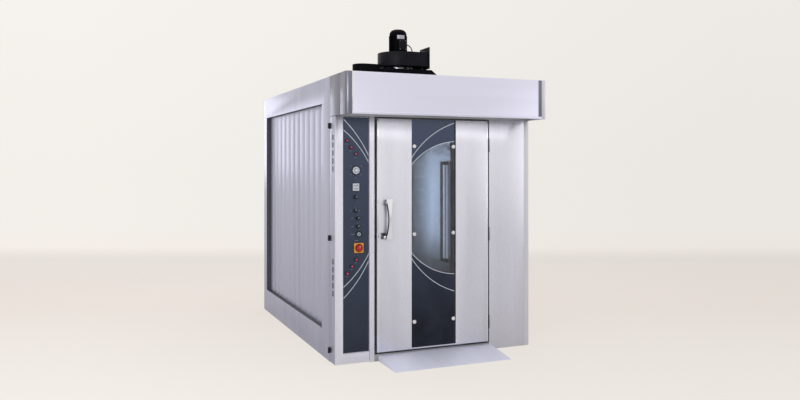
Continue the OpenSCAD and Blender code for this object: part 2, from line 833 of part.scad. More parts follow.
// Control panel: the slate plate that fills the bay, with the shafts' holes
module control_panel() color(slate) placed() difference() {
    block([fascia_x0, fascia_x1], [fascia_y, bay_floor_y], [fascia_z0, fascia_z1]);
    control_positions(fascia_y - cut, bay_floor_y + cut, knob_shaft_r + running_fit);
}

// Bezels of the six lamps and the start button's ring
module panel_bezels() color(plastic_black) placed() {
    for (p = concat(upper_lamps, lower_lamps))
        bar_y(bay_x0 + p[0], p[1], fascia_y - lamp_out, fascia_y, lamp_r);
    difference() {
        bar_y(bay_x0 + start_at[0], start_at[1], fascia_y - ring_h, fascia_y, ring_r);
        bar_y(bay_x0 + start_at[0], start_at[1], fascia_y - ring_h - cut, fascia_y + cut,
            button_r + 2 * running_fit);
    }
}

// Domed red lenses on the lamps' bezels
module lamp_lenses() color([0.85, 0.2, 0.35]) placed()
    for (p = concat(upper_lamps, lower_lamps))
        translate([bay_x0 + p[0], fascia_y - lamp_out, p[1]]) rotate([90, 0, 0])
            rotate_extrude() intersection() {
                square([lamp_r - 2, lens_t]);
                translate([0, lens_t - 2 * lamp_r]) circle(2 * lamp_r);
            }

// Display with two rows: a square frame round two sunk fields
module display_module() color([0.75, 0.77, 0.8]) placed() difference() {
    x = bay_x0 + display_at[0];
    z = display_at[1];
    block([x - display_w / 2, x + display_w / 2], [fascia_y - display_out, fascia_y],
        [z - display_h / 2, z + display_h / 2]);
    for (side = [-1, 1])
        block([x - display_w / 2 + 7, x + display_w / 2 - 7],
            [fascia_y - display_out - cut, fascia_y - display_out + 2],
            [z + side * 14 - 10, z + side * 14 + 10]);
}

module main_switch_plate() color([0.93, 0.62, 0.12]) placed() difference() {
    x = bay_x0 + switch_at[0];
    z = switch_at[1];
    block([x - switch_size / 2, x + switch_size / 2], [fascia_y - switch_t, fascia_y],
        [z - switch_size / 2, z + switch_size / 2]);
    bar_y(x, z, fascia_y - switch_t - cut, fascia_y + cut, knob_shaft_r + running_fit);
}

// Puts a control that is drawn standing on its back onto the panel, or on a plate
// of the given thickness on the panel
module on_panel(at, plate = 0)
    translate([bay_x0 + at[0], fascia_y - plate - face_gap, at[1]]) rotate([90, 0, 0]) children();

// Shaft behind a control, through the panel and the plates on it
module control_shaft(plate = 0) {
    depth = face_gap + plate + fascia_t + shaft_past;
    translate([0, 0, -depth]) cylinder(h = depth + cut, r = knob_shaft_r);
}

// A grip that stands across a round control
module grip(r, h, w, angle) rotate(angle) translate([-w / 2, -r, 0]) cube([w, 2 * r, h]);

// Selector knob: a round skirt with a raised grip across it
module selector_knob(at, angle) on_panel(at) {
    cylinder(h = knob_h * 0.55, r = knob_r);
    grip(knob_r * 0.92, knob_h, knob_r * 0.55, angle);
    control_shaft();
}

module timer_knob() color(plastic_black) placed() selector_knob(timer_at, -50);

module steam_knob() color(plastic_black) placed() selector_knob(steam_at, 0);

module fan_knob() color(plastic_black) placed() selector_knob(fan_at, -40);

module light_knob() color(plastic_black) placed() selector_knob(light_at, -40);

// Thermostat dial: a wide ring with a raised knob in its middle
module thermostat_dial() color([0.9, 0.9, 0.92]) placed() on_panel(dial_at) {
    cylinder(h = dial_h * 0.3, r = dial_r);
    cylinder(h = dial_h, r = dial_r * 0.55);
    control_shaft();
}

// Start button: a cap that slides in its ring
module start_button() color([0.6, 0.62, 0.66]) placed()
    bar_y(bay_x0 + start_at[0], start_at[1], fascia_y - ring_h - button_shown,
        fascia_y - button_travel - face_gap, button_r);

// Main switch: a round red knob with a grip, whose shaft runs through its plate
module main_switch_knob() color([0.8, 0.1, 0.12]) placed() on_panel(switch_at, switch_t) {
    cylinder(h = switch_knob_h * 0.6, r = switch_knob_r);
    grip(switch_knob_r * 0.9, switch_knob_h, switch_knob_r * 0.55, 0);
    control_shaft(switch_t);
}

// Liner of the cabinet: side wall, back and top between the cabinet and the wool
module cabinet_liner() color(dull_steel) placed() {
    block([cabinet_x1, chamber_x0 - wall_t], [portal_y1, cabinet_y1 + liner_t],
        [floor_pan_h, hood_z0]);
    block([inner_x0, cabinet_x1], [cabinet_y1, cabinet_y1 + liner_t], [floor_pan_h, hood_z0]);
    block([inner_x0, cabinet_x1], [hood_back, cabinet_y1], [hood_z0 - liner_t, hood_z0]);
}

// Mounting plate with rails, contactors, breakers and terminals
module electrical_tray() color(dull_steel) placed() {
    plate_t = 4;
    x0 = inner_x0 + 4;
    x1 = cabinet_x1 - 4;
    y = cabinet_y1 - plate_t;
    rail_t = 8;
    rail_w = 34;
    unit_h = 80;
    row_z0 = 260;
    row_pitch = (hood_z0 - row_z0 - 120) / tray_rows;
    block([x0, x1], [y, cabinet_y1], [row_z0 - 120, hood_z0 - 120]);
    for (i = [0 : tray_rows - 1]) let (z = row_z0 + i * row_pitch) {
        block([x0 + 2, x1 - 2], [y - rail_t, y], [z - rail_w / 2, z + rail_w / 2]);
        units = i % 2 == 0 ? 2 : 4;
        unit_w = (x1 - x0 - 8) / units;
        unit_t = i % 2 == 0 ? 70 : 55;
        for (k = [0 : units - 1])
            block([x0 + 5 + k * unit_w, x0 + 3 + (k + 1) * unit_w],
                [y - rail_t - unit_t, y - rail_t], [z - unit_h / 2, z + unit_h / 2]);
    }
}

// ---------- hinges ----------

// The fixed halves of all hinges, with their pins: three on the cabinet's corner,
// and the row beside the door
module hinge_pins() color(plastic_black) placed() {
    for (z = cabinet_hinge_zs) {
        z0 = z - cabinet_hinge_h / 2;
        bar_z(cabinet_axis_x, cabinet_axis_y, z0, z - face_gap / 2, cabinet_barrel_r);
        bar_z(cabinet_axis_x, cabinet_axis_y, z0, z0 + cabinet_hinge_h, cabinet_pin_r);
        block([-cabinet_leaf_t, 0],
            [cabinet_axis_y + cabinet_barrel_r + face_gap, cabinet_axis_y + cabinet_leaf_w],
            [z0, z0 + cabinet_hinge_h]);
        block([cabinet_axis_x, 0],
            [cabinet_axis_y + bay_gap / 2, cabinet_axis_y + cabinet_barrel_r + 2 * face_gap],
            [z0, z - face_gap / 2]);
    }
    for (z0 = door_hinge_zs) {
        mid = z0 + door_hinge_h / 2;
        bar_z(door_axis_x, door_axis_y, z0, mid - face_gap / 2, door_barrel_r);
        bar_z(door_axis_x, door_axis_y, z0, z0 + door_hinge_h, door_pin_r);
        block([fixed_x0 - door_leaf_t, fixed_x0], [door_axis_y, door_leaf_w],
            [z0, mid - face_gap / 2]);
        block([door_axis_x, fixed_x0], [door_axis_y, door_axis_y + door_leaf_t],
            [z0, mid - face_gap / 2]);
    }
}

// The cabinet door's halves of its hinges
module cabinet_knuckles() color(plastic_black) placed() for (z = cabinet_hinge_zs) difference() {
    z1 = z + cabinet_hinge_h / 2;
    union() {
        bar_z(cabinet_axis_x, cabinet_axis_y, z + face_gap / 2, z1, cabinet_barrel_r);
        block([-cabinet_leaf_t, 0], [cabinet_axis_y - cabinet_leaf_w, cabinet_axis_y - bay_gap / 2],
            [z + face_gap / 2, z1]);
        block([cabinet_axis_x, 0], [cabinet_axis_y - cabinet_barrel_r, cabinet_axis_y - bay_gap / 2],
            [z + face_gap / 2, z1]);
    }
    bar_z(cabinet_axis_x, cabinet_axis_y, z - cut, z1 + cut, cabinet_pin_r + running_fit);
}

// The door's halves of its hinges
module door_knuckles() color(dull_steel) placed() for (z0 = door_hinge_zs) difference() {
    z1 = z0 + door_hinge_h;
    mid = z0 + door_hinge_h / 2 + face_gap / 2;
    union() {
        bar_z(door_axis_x, door_axis_y, mid, z1, door_barrel_r);
        block([door_x1, door_x1 + door_leaf_t], [door_axis_y, door_leaf_w], [mid, z1]);
        block([door_x1, door_axis_x], [door_axis_y, door_axis_y + door_leaf_t], [mid, z1]);
    }
    bar_z(door_axis_x, door_axis_y, mid - cut, z1 + cut, door_pin_r + running_fit);
}

// ---------- door ----------

// Insulated core of the door: window, ledge for the inner glass, bolt's way
module door_core() color(dull_steel) placed() difference() {
    block([door_x0, door_x1], [core_y0, door_y1], [door_bottom, door_top]);
    block([window_x0, window_x1], [core_y0 - cut, door_y1 + cut], [window_bottom, window_top]);
    block([window_x0 - glass_ledge, window_x1 + glass_ledge], [door_y1 - inner_glass_t, door_y1 + cut],
        [window_bottom - glass_ledge, window_top + glass_ledge]);
    block([door_x0 - cut, door_x0 + bolt_len + bolt_travel],
        [bolt_y - bolt_size / 2 - face_gap, bolt_y + bolt_size / 2 + face_gap],
        [pivot_z - bolt_size / 2 - face_gap, pivot_z + bolt_size / 2 + face_gap]);
}

// Steel skins at both sides of the glass, and the rail under it
module door_skins() color(bright_steel) placed() {
    block([door_x0, glass_x0], [door_y0, core_y0], [door_bottom, door_top]);
    block([glass_x1, door_x1], [door_y0, core_y0], [door_bottom, door_top]);
    block([glass_x0, glass_x1], [door_y0, core_y0], [door_bottom, door_bottom + rail_h]);
}

module door_outer_glass() color(slate) placed()
    block([glass_x0, glass_x1], [door_y0, core_y0], [door_bottom + rail_h, door_top]);

module door_inner_glass() color([0.6, 0.7, 0.78, 0.5]) placed()
    block([window_x0 - glass_ledge, window_x1 + glass_ledge], [door_y1 - inner_glass_t, door_y1],
        [window_bottom - glass_ledge, window_top + glass_ledge]);

// Six studs on the outer glass, with rounded rims
module glass_studs() color(bright_steel) placed()
    for (x = [glass_x0 + stud_inset, glass_x1 - stud_inset], i = [0 : 2])
        translate([x, door_y0, stud_low_z + i * stud_pitch]) rotate([90, 0, 0])
            rotate_extrude() {
                square([stud_r - stud_h / 2, stud_h]);
                square([stud_r, stud_h / 2]);
                translate([stud_r - stud_h / 2, stud_h / 2]) circle(stud_h / 2);
            }

// Gasket round the portal's opening, pressed between the door and the portal
module door_gasket() color(seal_black) placed() difference() {
    edge = (door_overlap - gasket_w) / 2;
    block([door_x0 + edge, door_x1 - edge], [door_y1, portal_y0 - face_gap],
        [door_bottom + 2, door_top - edge]);
    block([door_x0 + edge + gasket_w, door_x1 - edge - gasket_w], [door_y1 - cut, portal_y0],
        [door_bottom + 2 + gasket_w, door_top - edge - gasket_w]);
}

// ---------- handle ----------

// The handle's mounts: the latch case with its two ears and pin, and the rest above
module handle_mounts() color(plastic_black) placed() {
    for (side = [-1, 1]) let (x = handle_x + side * (mount_w - ear_t) / 2)
        block([x - ear_t / 2, x + ear_t / 2], [pivot_y - pivot_r - 1, door_y0],
            [pivot_z - boss_r - 8, pivot_z + boss_r + 12]);
    block([handle_x - mount_w / 2, handle_x + mount_w / 2], [door_y0 - 4, door_y0],
        [pivot_z - boss_r - 8, pivot_z + boss_r + 22]);
    bar_x(pivot_y, pivot_z, handle_x - mount_w / 2, handle_x + mount_w / 2, pivot_r);
    block([foot_x - foot_w / 2 - 4, foot_x + foot_w / 2 + 4],
        [door_y0 - mount_h + face_gap, door_y0], [foot_z - 4, foot_z + foot_w + 4]);
}

// Depth of the strap's inner face at a height
function strap_y(z) = bow_centre_y
    - sqrt(pow(bow_r - handle_t, 2) - pow(z - handle_mid_z, 2));

// Handle: a bowed strap with a waist, on a lug that turns on the pin, and with a
// foot on the upper rest
module door_handle() color(bright_steel) placed() {
    intersection() {
        run_x(strap_x - handle_w, 2 * handle_w) strap_side();
        run_y(door_y0 - mount_h - handle_bow - 2 * handle_t, door_y0) strap_front();
    }
    block([foot_x - foot_w / 2, foot_x + foot_w / 2],
        [strap_y(foot_z) - handle_t / 2, door_y0 - mount_h], [foot_z, foot_z + foot_w]);
    block([handle_x - lug_w / 2, strap_x],
        [strap_y(pivot_z) - handle_t / 2, pivot_y - pivot_r - arm_gap],
        [pivot_z - boss_r, pivot_z + boss_r]);
    difference() {
        union() {
            bar_x(pivot_y, pivot_z, handle_x - lug_w / 2, handle_x + lug_w / 2, boss_r);
            block([handle_x - lug_w / 2, handle_x + lug_w / 2],
                [strap_y(pivot_z) - handle_t / 2, pivot_y], [pivot_z - boss_r, pivot_z + boss_r]);
        }
        bar_x(pivot_y, pivot_z, handle_x - lug_w, handle_x + lug_w, pivot_r + running_fit);
    }
}

// The strap's side view: an arc of even thickness, drawn as [depth, height]
module strap_side() {
    half = asin(handle_len / 2 / bow_r);
    centre = [bow_centre_y, handle_mid_z];
    polygon(concat(arc(centre, bow_r, 180 - half, 180 + half, 20),
        arc(centre, bow_r - handle_t, 180 + half, 180 - half, 20)));
}

// The strap's front view: two hollow flanks, drawn as [along, up]
module strap_front() {
    half = asin((handle_len / 2 + cut) / waist_curve_r);
    off = waist_w / 2 + waist_curve_r;
    polygon(concat(
        arc([strap_x + off, handle_mid_z], waist_curve_r, 180 + half, 180 - half, 14),
        arc([strap_x - off, handle_mid_z], waist_curve_r, half, -half, 14)));
}

// Latch bolt: slides in the door's edge
module latch_bolt() color(bright_steel) placed()
    block([door_x0 - bolt_out, door_x0 - bolt_out + bolt_len],
        [bolt_y - bolt_size / 2, bolt_y + bolt_size / 2],
        [pivot_z - bolt_size / 2, pivot_z + bolt_size / 2]);

// ---------- rack drive ----------

// Gear motor on the roof: gearbox with the shaft's blind bore, and its motor behind
module rack_drive_motor() color(fan_black) placed() difference() {
    union() {
        half = gearbox_w / 2;
        axis_z = casing_h + drive_foot_t + gearbox_h / 2 + 3;
        motor_y1 = rack_y + half + gear_motor_len;
        bar_z(chamber_mid_x, rack_y, casing_h, casing_h + drive_foot_t, gearbox_w * 0.79);
        block([chamber_mid_x - half, chamber_mid_x + half], [rack_y - half, rack_y + half],
            [casing_h + drive_foot_t, casing_h + drive_foot_t + gearbox_h]);
        bar_y(chamber_mid_x, axis_z, rack_y + half - cut, motor_y1, gear_motor_r);
        bar_y(chamber_mid_x, axis_z, motor_y1 - gear_motor_r, motor_y1, gear_motor_r + 6);
    }
    bar_z(chamber_mid_x, rack_y, casing_h - cut, casing_h + drive_grip,
        carrier_shaft_r + running_fit);
}

// Carrier that the rack hangs from and turns with: shaft, beam and two hooks
module rack_carrier() color(bright_steel) placed() {
    beam_z1 = chamber_z1 - carrier_drop;
    beam_z0 = beam_z1 - 40;
    bar_z(chamber_mid_x, rack_y, beam_z0, casing_h + drive_grip - face_gap, carrier_shaft_r);
    bar_z(chamber_mid_x, rack_y, beam_z0, beam_z1 + 12, carrier_shaft_r + 20);
    block([chamber_mid_x - carrier_len / 2, chamber_mid_x + carrier_len / 2],
        [rack_y - 30, rack_y + 30], [beam_z0, beam_z1]);
    for (side = [0, 1]) translate([chamber_mid_x, rack_y, 0]) mirror([side, 0, 0]) {
        block([carrier_len / 2 - hook_t, carrier_len / 2], [-30, 30],
            [beam_z0 - hook_h, beam_z0]);
        block([carrier_len / 2 - hook_reach, carrier_len / 2], [-30, 30],
            [beam_z0 - hook_h, beam_z0 - hook_h + hook_t]);
    }
}

// ---------- air circulation ----------

// Circulation motor on the roof, with the shaft's blind bore in its foot
module circulation_motor() color(fan_black) placed() difference() {
    foot_r = wheel_motor_r * 1.47;
    foot_t = 14;
    dome_h = 22;
    cap_z = wheel_motor_h - dome_h - 46;
    translate([chamber_mid_x, wheel_y, casing_h]) rotate_extrude()
        polygon([[0, 0], [foot_r, 0], [foot_r, foot_t], [wheel_motor_r, foot_t],
                 [wheel_motor_r, cap_z], [wheel_motor_r + 8, cap_z],
                 [wheel_motor_r + 8, wheel_motor_h - dome_h],
                 [wheel_motor_r - 16, wheel_motor_h], [0, wheel_motor_h]]);
    bar_z(chamber_mid_x, wheel_y, casing_h - cut, casing_h + wheel_grip,
        wheel_shaft_r + running_fit);
}

// Centrifugal wheel: a back plate, tilted blades, an inlet ring and the shaft
module bladed_wheel(r, h, plate, blades, blade_t, tilt, shaft_r) {
    cylinder(h = h, r = shaft_r * 1.8);
    translate([0, 0, h - plate]) cylinder(h = plate, r = r);
    difference() {
        cylinder(h = plate, r = r);
        translate([0, 0, -cut]) cylinder(h = plate + 2 * cut, r = r * 0.66);
    }
    for (i = [0 : blades - 1]) rotate(i * 360 / blades) translate([r * 0.62, 0, 0])
        rotate(tilt) translate([0, -blade_t / 2, 0]) cube([r * 0.36, blade_t, h]);
}

module circulation_wheel() color(dull_steel) placed()
    translate([chamber_mid_x, wheel_y, 0]) {
        z1 = chamber_z1 - wheel_drop;
        translate([0, 0, z1 - wheel_h])
            bladed_wheel(wheel_r, wheel_h, 5, wheel_blades, 4, 32, wheel_shaft_r);
        translate([0, 0, z1 - wheel_h])
            cylinder(h = casing_h + wheel_grip - face_gap - z1 + wheel_h, r = wheel_shaft_r);
    }

// One heating hairpin: two straight legs and the bend that joins them
module hairpin(y, z, x0, x1) {
    for (dz = [0, heater_bend]) bar_x(y, z + dz, x0, x1, heater_r);
    translate([x0, y, z + heater_bend / 2]) rotate([90, 0, 0]) rotate(90)
        rotate_extrude(angle = 180) translate([heater_bend / 2, 0]) circle(heater_r);
}

// Heating elements: two columns of hairpins, each with its header plate on the
// right wall and two combs that stand on the floor
module heating_elements() color(dull_steel) placed() {
    x0 = chamber_x0 + heater_end;
    z0 = chamber_z0 + heater_foot;
    rise = (chamber_z1 - wheel_drop - wheel_h - heater_head - z0) / heater_rows;
    top = z0 + (heater_rows - 1) * rise + heater_bend;
    for (y = [heat_y0 + heater_off, heat_y0 + heater_off + heater_apart]) {
        for (i = [0 : heater_rows - 1])
            hairpin(y, z0 + i * rise, x0, chamber_x1 - header_t / 2);
        block([chamber_x1 - header_t, chamber_x1], [y - header_w / 2, y + header_w / 2],
            [z0 - header_past, top + header_past]);
        for (x = [x0 + header_w, chamber_mid_x])
            block([x - comb_t / 2, x + comb_t / 2], [y - comb_w / 2, y + comb_w / 2],
                [chamber_z0, top + header_past / 2]);
    }
}

// Steam generator: trays stacked between two side plates under a spray bar, whose
// pipe runs out through the rear wall to the water inlet
module steam_generator() color(dull_steel) placed() {
    half = 300;
    depth = 150;
    sheet = 5;
    steam_tray_h = 45;
    tray_pitch = (pipe_z - chamber_z0 - 240) / steam_trays;
    y0 = rear_y - depth - 20;
    for (side = [-1, 1]) let (x = chamber_mid_x + side * (half - sheet / 2))
        block([x - sheet / 2, x + sheet / 2], [y0, rear_y - 20], [chamber_z0, pipe_z + 40]);
    for (i = [0 : steam_trays - 1])
        run_x(chamber_mid_x - half, 2 * half) translate([y0, chamber_z0 + 60 + i * tray_pitch])
            difference() {
                square([depth, steam_tray_h]);
                translate([sheet, sheet]) square([depth - 2 * sheet, steam_tray_h]);
            }
    bar_x(y0 + depth / 2, pipe_z, chamber_mid_x - half, chamber_mid_x + half, water_pipe_r);
    bar_y(chamber_mid_x, pipe_z, y0 + depth / 2, casing_d + cut, water_pipe_r);
    bar_y(chamber_mid_x, pipe_z, casing_d + face_gap, casing_d + water_stub, inlet_r);
}

// ---------- extraction fan on the roof ----------

// Suction box: a hollow box open below over the hood's slot, with a sloping right
// end, and the low round-ended duct at its left
module suction_box() color(fan_black) placed() {
    difference() {
        run_y(suction_y0, suction_y1) translate([0, casing_h]) suction_side(0);
        run_y(suction_y0 + suction_wall, suction_y1 - suction_wall)
            translate([0, casing_h - cut]) suction_side(suction_wall);
        bar_z(fan_x, fan_y, casing_h, casing_h + plenum_h + cut, collar_r - collar_wall);
    }
    duct_x0 = suction_x0 - 129;
    bar_z(duct_x0, fan_y, casing_h, casing_h + low_duct_h, low_duct_r);
    block([duct_x0, suction_x0 + suction_wall / 2], [fan_y - low_duct_r, fan_y + low_duct_r],
        [casing_h, casing_h + low_duct_h]);
}

// Side view of the suction box, or of the room inside its walls
module suction_side(wall) {
    top = plenum_h + (wall > 0 ? cut - wall : 0);
    slope_wall = wall * norm([suction_slope, plenum_h]) / plenum_h;
    polygon([[suction_x0 + wall, 0], [suction_x1 - slope_wall, 0],
             [suction_x1 - suction_slope - wall, top], [suction_x0 + wall, top]]);
}

// A side view drawn as [along, up], run back into the oven
module run_y(y0, y1) translate([0, y1, 0]) rotate([90, 0, 0]) linear_extrude(y1 - y0) children();

// Radius of the scroll's wall, growing evenly with the angle from where it starts
scroll_start_a = asin((outlet_w - scroll_r) / scroll_start_r);
function scroll_wall_r(a) = scroll_start_r
    + (scroll_r - scroll_start_r) * (a - scroll_start_a) / (270 - scroll_start_a);

// Plan of the scroll round the fan's axis, drawn inwards by a wall, with its outlet
module scroll_plan(wall, reach) polygon(concat(
    [for (i = [0 : scroll_steps])
        let (a = scroll_start_a + (270 - scroll_start_a) * i / scroll_steps)
        (scroll_wall_r(a) - wall) * [cos(a), sin(a)]],
    [[reach, wall - scroll_r], [reach, outlet_w - scroll_r - wall]]));

// Scroll housing with its inlet collar, the outlet's flange and the cable's gland
module fan_scroll() color(fan_black) placed() {
    outlet_mid_y = (outlet_y0 + outlet_y1) / 2;
    difference() {
        union() {
            translate([fan_x, fan_y, scroll_z0]) linear_extrude(scroll_h)
                scroll_plan(0, outlet_reach);
            bar_z(fan_x, fan_y, casing_h + plenum_h, scroll_z0, collar_r);
            block([outlet_x - flange_t, outlet_x],
                [outlet_mid_y - flange_size / 2, outlet_mid_y + flange_size / 2],
                [flange_z - flange_size / 2, flange_z + flange_size / 2]);
            bar_z(cable_x1, cable_y, scroll_z1, scroll_z1 + gland_h, 2 * cable_r);
        }
        translate([fan_x, fan_y, scroll_z0 + scroll_wall])
            linear_extrude(scroll_h - 2 * scroll_wall)
            scroll_plan(scroll_wall, outlet_reach + cut);
        bar_z(fan_x, fan_y, casing_h + plenum_h - cut, scroll_z0 + scroll_wall + cut,
            collar_r - collar_wall);
        bar_z(fan_x, fan_y, scroll_z1 - scroll_wall - cut, scroll_z1 + cut,
            impeller_shaft_r + guard_gap / 2);
        for (dy = [-1, 1], dz = [-1, 1])
            bar_x(outlet_mid_y + dy * flange_pitch / 2, flange_z + dz * flange_pitch / 2,
                outlet_x - flange_t - cut, outlet_x + cut, flange_hole_r);
    }
}

module extraction_impeller() color(dull_steel) placed() translate([fan_x, fan_y, 0]) {
    h = scroll_h - 2 * scroll_wall - 24;
    translate([0, 0, scroll_z0 + scroll_wall + 12])
        bladed_wheel(impeller_r, h, 3, 12, 3, 40, impeller_shaft_r);
    translate([0, 0, scroll_z0 + scroll_wall + 12])
        cylinder(h = scroll_h - scroll_wall - 12 + shaft_grip - face_gap, r = impeller_shaft_r);
}

// Extraction motor: foot flange, a body that widens to its domed cap, terminal box
module extraction_motor() color(fan_black) placed() difference() {
    union() {
        translate([fan_x, fan_y, scroll_z1]) rotate_extrude() motor_side();
        block([fan_x - terminal_box_w / 2, cable_x0 - gland_h],
            [fan_y - motor_r - 32, fan_y - motor_r + 24],
            [scroll_z1 + motor_flange_t + 16, scroll_z1 + motor_flange_t + 102]);
        bar_x(cable_y, cable_z, cable_x0 - gland_h, cable_x0, 2 * cable_r);
    }
    bar_z(fan_x, fan_y, scroll_z1 - cut, scroll_z1 + shaft_grip, impeller_shaft_r + running_fit);
}

// Half of the motor's side view; its cap's shoulder is an arc
module motor_side() {
    shoulder = 46;
    cap_y = motor_h - shoulder - 10;
    polygon(concat([[0, 0], [motor_r + 18, 0], [motor_r + 18, motor_flange_t],
                    [motor_r - 6, motor_flange_t], [motor_r - 2, cap_y], [motor_r, cap_y]],
        arc([motor_r - shoulder, motor_h - shoulder], shoulder, 0, 90, 8),
        [[0, motor_h]]));
}

// Cable from the terminal box, bending down to its gland on the scroll
module motor_cable() color(plastic_black) placed() {
    translate([cable_x0, cable_y, cable_z - cable_bend]) rotate([90, 0, 0])
        rotate_extrude(angle = 90) translate([cable_bend, 0]) circle(cable_r);
    bar_z(cable_x1, cable_y, scroll_z1 + gland_h, cable_z - cable_bend, cable_r);
}

// ---------- what is drawn ----------

base_pan();
left_side_frame();
right_side_frame();
left_ribbed_field();
right_ribbed_field();
rear_wall();
roof_panel();
insulation();
chamber_left_wall();
chamber_right_wall();
chamber_ceiling();
air_wall();
chamber_lamp();
door_portal();
latch_post();
fixed_front_panel();
front_head();
ramp();
hood_front();
hood_ends();
hood_top();
grease_baffle();
cabinet_liner();
electrical_tray();
hinge_pins();
rack_drive_motor();
circulation_motor();
heating_elements();
steam_generator();
suction_box();
fan_scroll();
extraction_motor();
motor_cable();
cabinet_door();
control_panel();
panel_bezels();
lamp_lenses();
display_module();
main_switch_plate();
cabinet_knuckles();
door_core();
door_skins();
door_outer_glass();
door_inner_glass();
glass_studs();
door_gasket();
door_knuckles();
handle_mounts();
door_handle();
latch_bolt();
thermostat_dial();
timer_knob();
steam_knob();
fan_knob();
light_knob();
start_button();
main_switch_knob();
extraction_impeller();
circulation_wheel();
rack_carrier();
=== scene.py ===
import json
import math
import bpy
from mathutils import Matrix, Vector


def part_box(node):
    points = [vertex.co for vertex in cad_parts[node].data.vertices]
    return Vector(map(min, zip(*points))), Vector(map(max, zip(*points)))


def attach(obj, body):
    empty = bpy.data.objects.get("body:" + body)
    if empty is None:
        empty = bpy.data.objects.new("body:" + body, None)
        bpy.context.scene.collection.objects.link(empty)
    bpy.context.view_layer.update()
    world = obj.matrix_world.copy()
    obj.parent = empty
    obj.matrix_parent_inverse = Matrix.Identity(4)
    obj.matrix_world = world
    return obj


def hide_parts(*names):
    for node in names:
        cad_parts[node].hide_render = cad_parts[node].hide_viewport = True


bl_info = {
    "name": "Rack oven dresser",
    "version": (1, 0, 0),
    "blender": (4, 5, 0),
    "location": "View3D > Sidebar > Rack oven",
    "description": "Dresses the packed rack oven: sheets, glass, controls and finishes",
    "category": "Object",
}

from functools import cache

import bpy
from mathutils import Matrix, Vector

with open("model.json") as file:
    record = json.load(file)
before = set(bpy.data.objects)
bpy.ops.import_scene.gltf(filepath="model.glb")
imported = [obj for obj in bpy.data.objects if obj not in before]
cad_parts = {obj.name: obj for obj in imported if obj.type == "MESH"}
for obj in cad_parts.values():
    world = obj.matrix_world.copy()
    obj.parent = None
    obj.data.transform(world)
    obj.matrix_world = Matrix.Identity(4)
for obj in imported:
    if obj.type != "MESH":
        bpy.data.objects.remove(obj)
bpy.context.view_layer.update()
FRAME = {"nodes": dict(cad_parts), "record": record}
BODY_OF = {node: body for body, nodes in FRAME["record"]["behaviour"]["bodies"].items()
           for node in nodes}
SLOT_OF = {row["node"]: row["material_slot"] for row in FRAME["record"]["subparts"]}

# The casing's front left floor corner in the frame, in metres
CORNER = Vector((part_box("left_side_frame")[0].x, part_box("latch_post")[0].y, 0))
FRONT_Y = CORNER.y
OUTWARDS, UPWARDS = (0, -1, 0), (0, 0, 1)


def along(mm):
    """Place along the front, given in millimetres from the casing's left side."""
    return CORNER.x + mm / 1000


def back(mm):
    """Place behind the front plane, given in millimetres."""
    return FRONT_Y + mm / 1000


def span(node):
    """A CAD node's lowest and highest corners, and its middle."""
    low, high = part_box(node)
    return low, high, (low + high) / 2


# ---------------------------------------------------------------- settings


def length(name, text, default, low):
    return bpy.props.FloatProperty(
        name=name, description=text, default=default, min=low, unit="LENGTH")


def tint(name, text, default):
    return bpy.props.FloatVectorProperty(
        name=name, description=text, subtype="COLOR", default=default, min=0, max=1)


class RackOvenSizes(bpy.types.PropertyGroup):
    sheet_ease: length("Sheet edges", "Radius of the folded sheets' edges", 0.0016, 0.0002)
    panel_ease: length("Panel edges", "Radius of the thick panels' edges", 0.003, 0.0005)
    arc_width: length("Stripe width", "Width of the stripes on glass and panel", 0.0052, 0.001)
    stripe_rise: length("Stripe height", "How far a stripe stands proud", 0.0004, 0.0001)
    hem_width: length("Hem width", "Width of the hems on the door's skins", 0.013, 0.002)
    fin_count: bpy.props.IntProperty(
        name="Cooling fins", description="Number of cooling fins round a motor",
        default=32, min=8)


class RackOvenColours(bpy.types.PropertyGroup):
    front_steel: tint("Front steel", "Brushed steel of the front", (0.83, 0.835, 0.93))
    side_steel: tint("Side steel", "Brushed steel of the sides", (0.46, 0.472, 0.59))
    slate: tint("Slate", "Control panel and the glass's print", (0.062, 0.078, 0.121))
    paint: tint("Black paint", "Painted fan and motors", (0.0022, 0.0022, 0.0034))
    lens: tint("Lens", "Signal lamps", (0.60, 0.04, 0.10))
    switch_plate: tint("Switch plate", "The main switch's plate", (0.78, 0.32, 0.02))
    floor: tint("Floor", "The studio's floor", (0.64, 0.61, 0.575))


def sizes():
    return bpy.context.scene.rack_oven_sizes


def colours():
    return bpy.context.scene.rack_oven_colours


# ---------------------------------------------------------------- nodes


def feed(tree, sockets, sources):
    """Links each socket to the one that feeds it, or sets its value."""
    for key, source in sources.items():
        if hasattr(source, "node"):
            tree.links.new(source, sockets[key])
        elif sockets[key].type == "RGBA":
            sockets[key].default_value = (*source[:3], 1)
        else:
            sockets[key].default_value = source


def add_node(tree, kind, sources=None, **settings):
    """Adds a shader node, feeds its inputs and gives its outputs."""
    node = tree.nodes.new("ShaderNode" + kind)
    for key, value in settings.items():
        setattr(node, key, value)
    feed(tree, node.inputs, sources or {})
    return node.outputs


def stretched_noise(tree, vector, scale, detail=4.0, roughness=0.6):
    """Noise drawn out along the axes where the scale is small."""
    mapped = add_node(tree, "Mapping", {"Vector": vector, "Scale": scale})["Vector"]
    return add_node(tree, "TexNoise", {"Vector": mapped, "Scale": 1.0, "Detail": detail,
                                       "Roughness": roughness})["Fac"]


def ramp_between(tree, value, low, high, to_low=0.0, to_high=1.0):
    return add_node(tree, "MapRange", {"Value": value, "From Min": low, "From Max": high,
                                       "To Min": to_low, "To Max": to_high})["Result"]


def math_node(tree, operation, first, second):
    return add_node(tree, "Math", {0: first, 1: second}, operation=operation)["Value"]


def times(tree, first, second):
    return math_node(tree, "MULTIPLY", first, second)


def bump_from(tree, height, strength, distance):
    return add_node(tree, "Bump", {"Height": height, "Strength": strength,
                                   "Distance": distance})["Normal"]


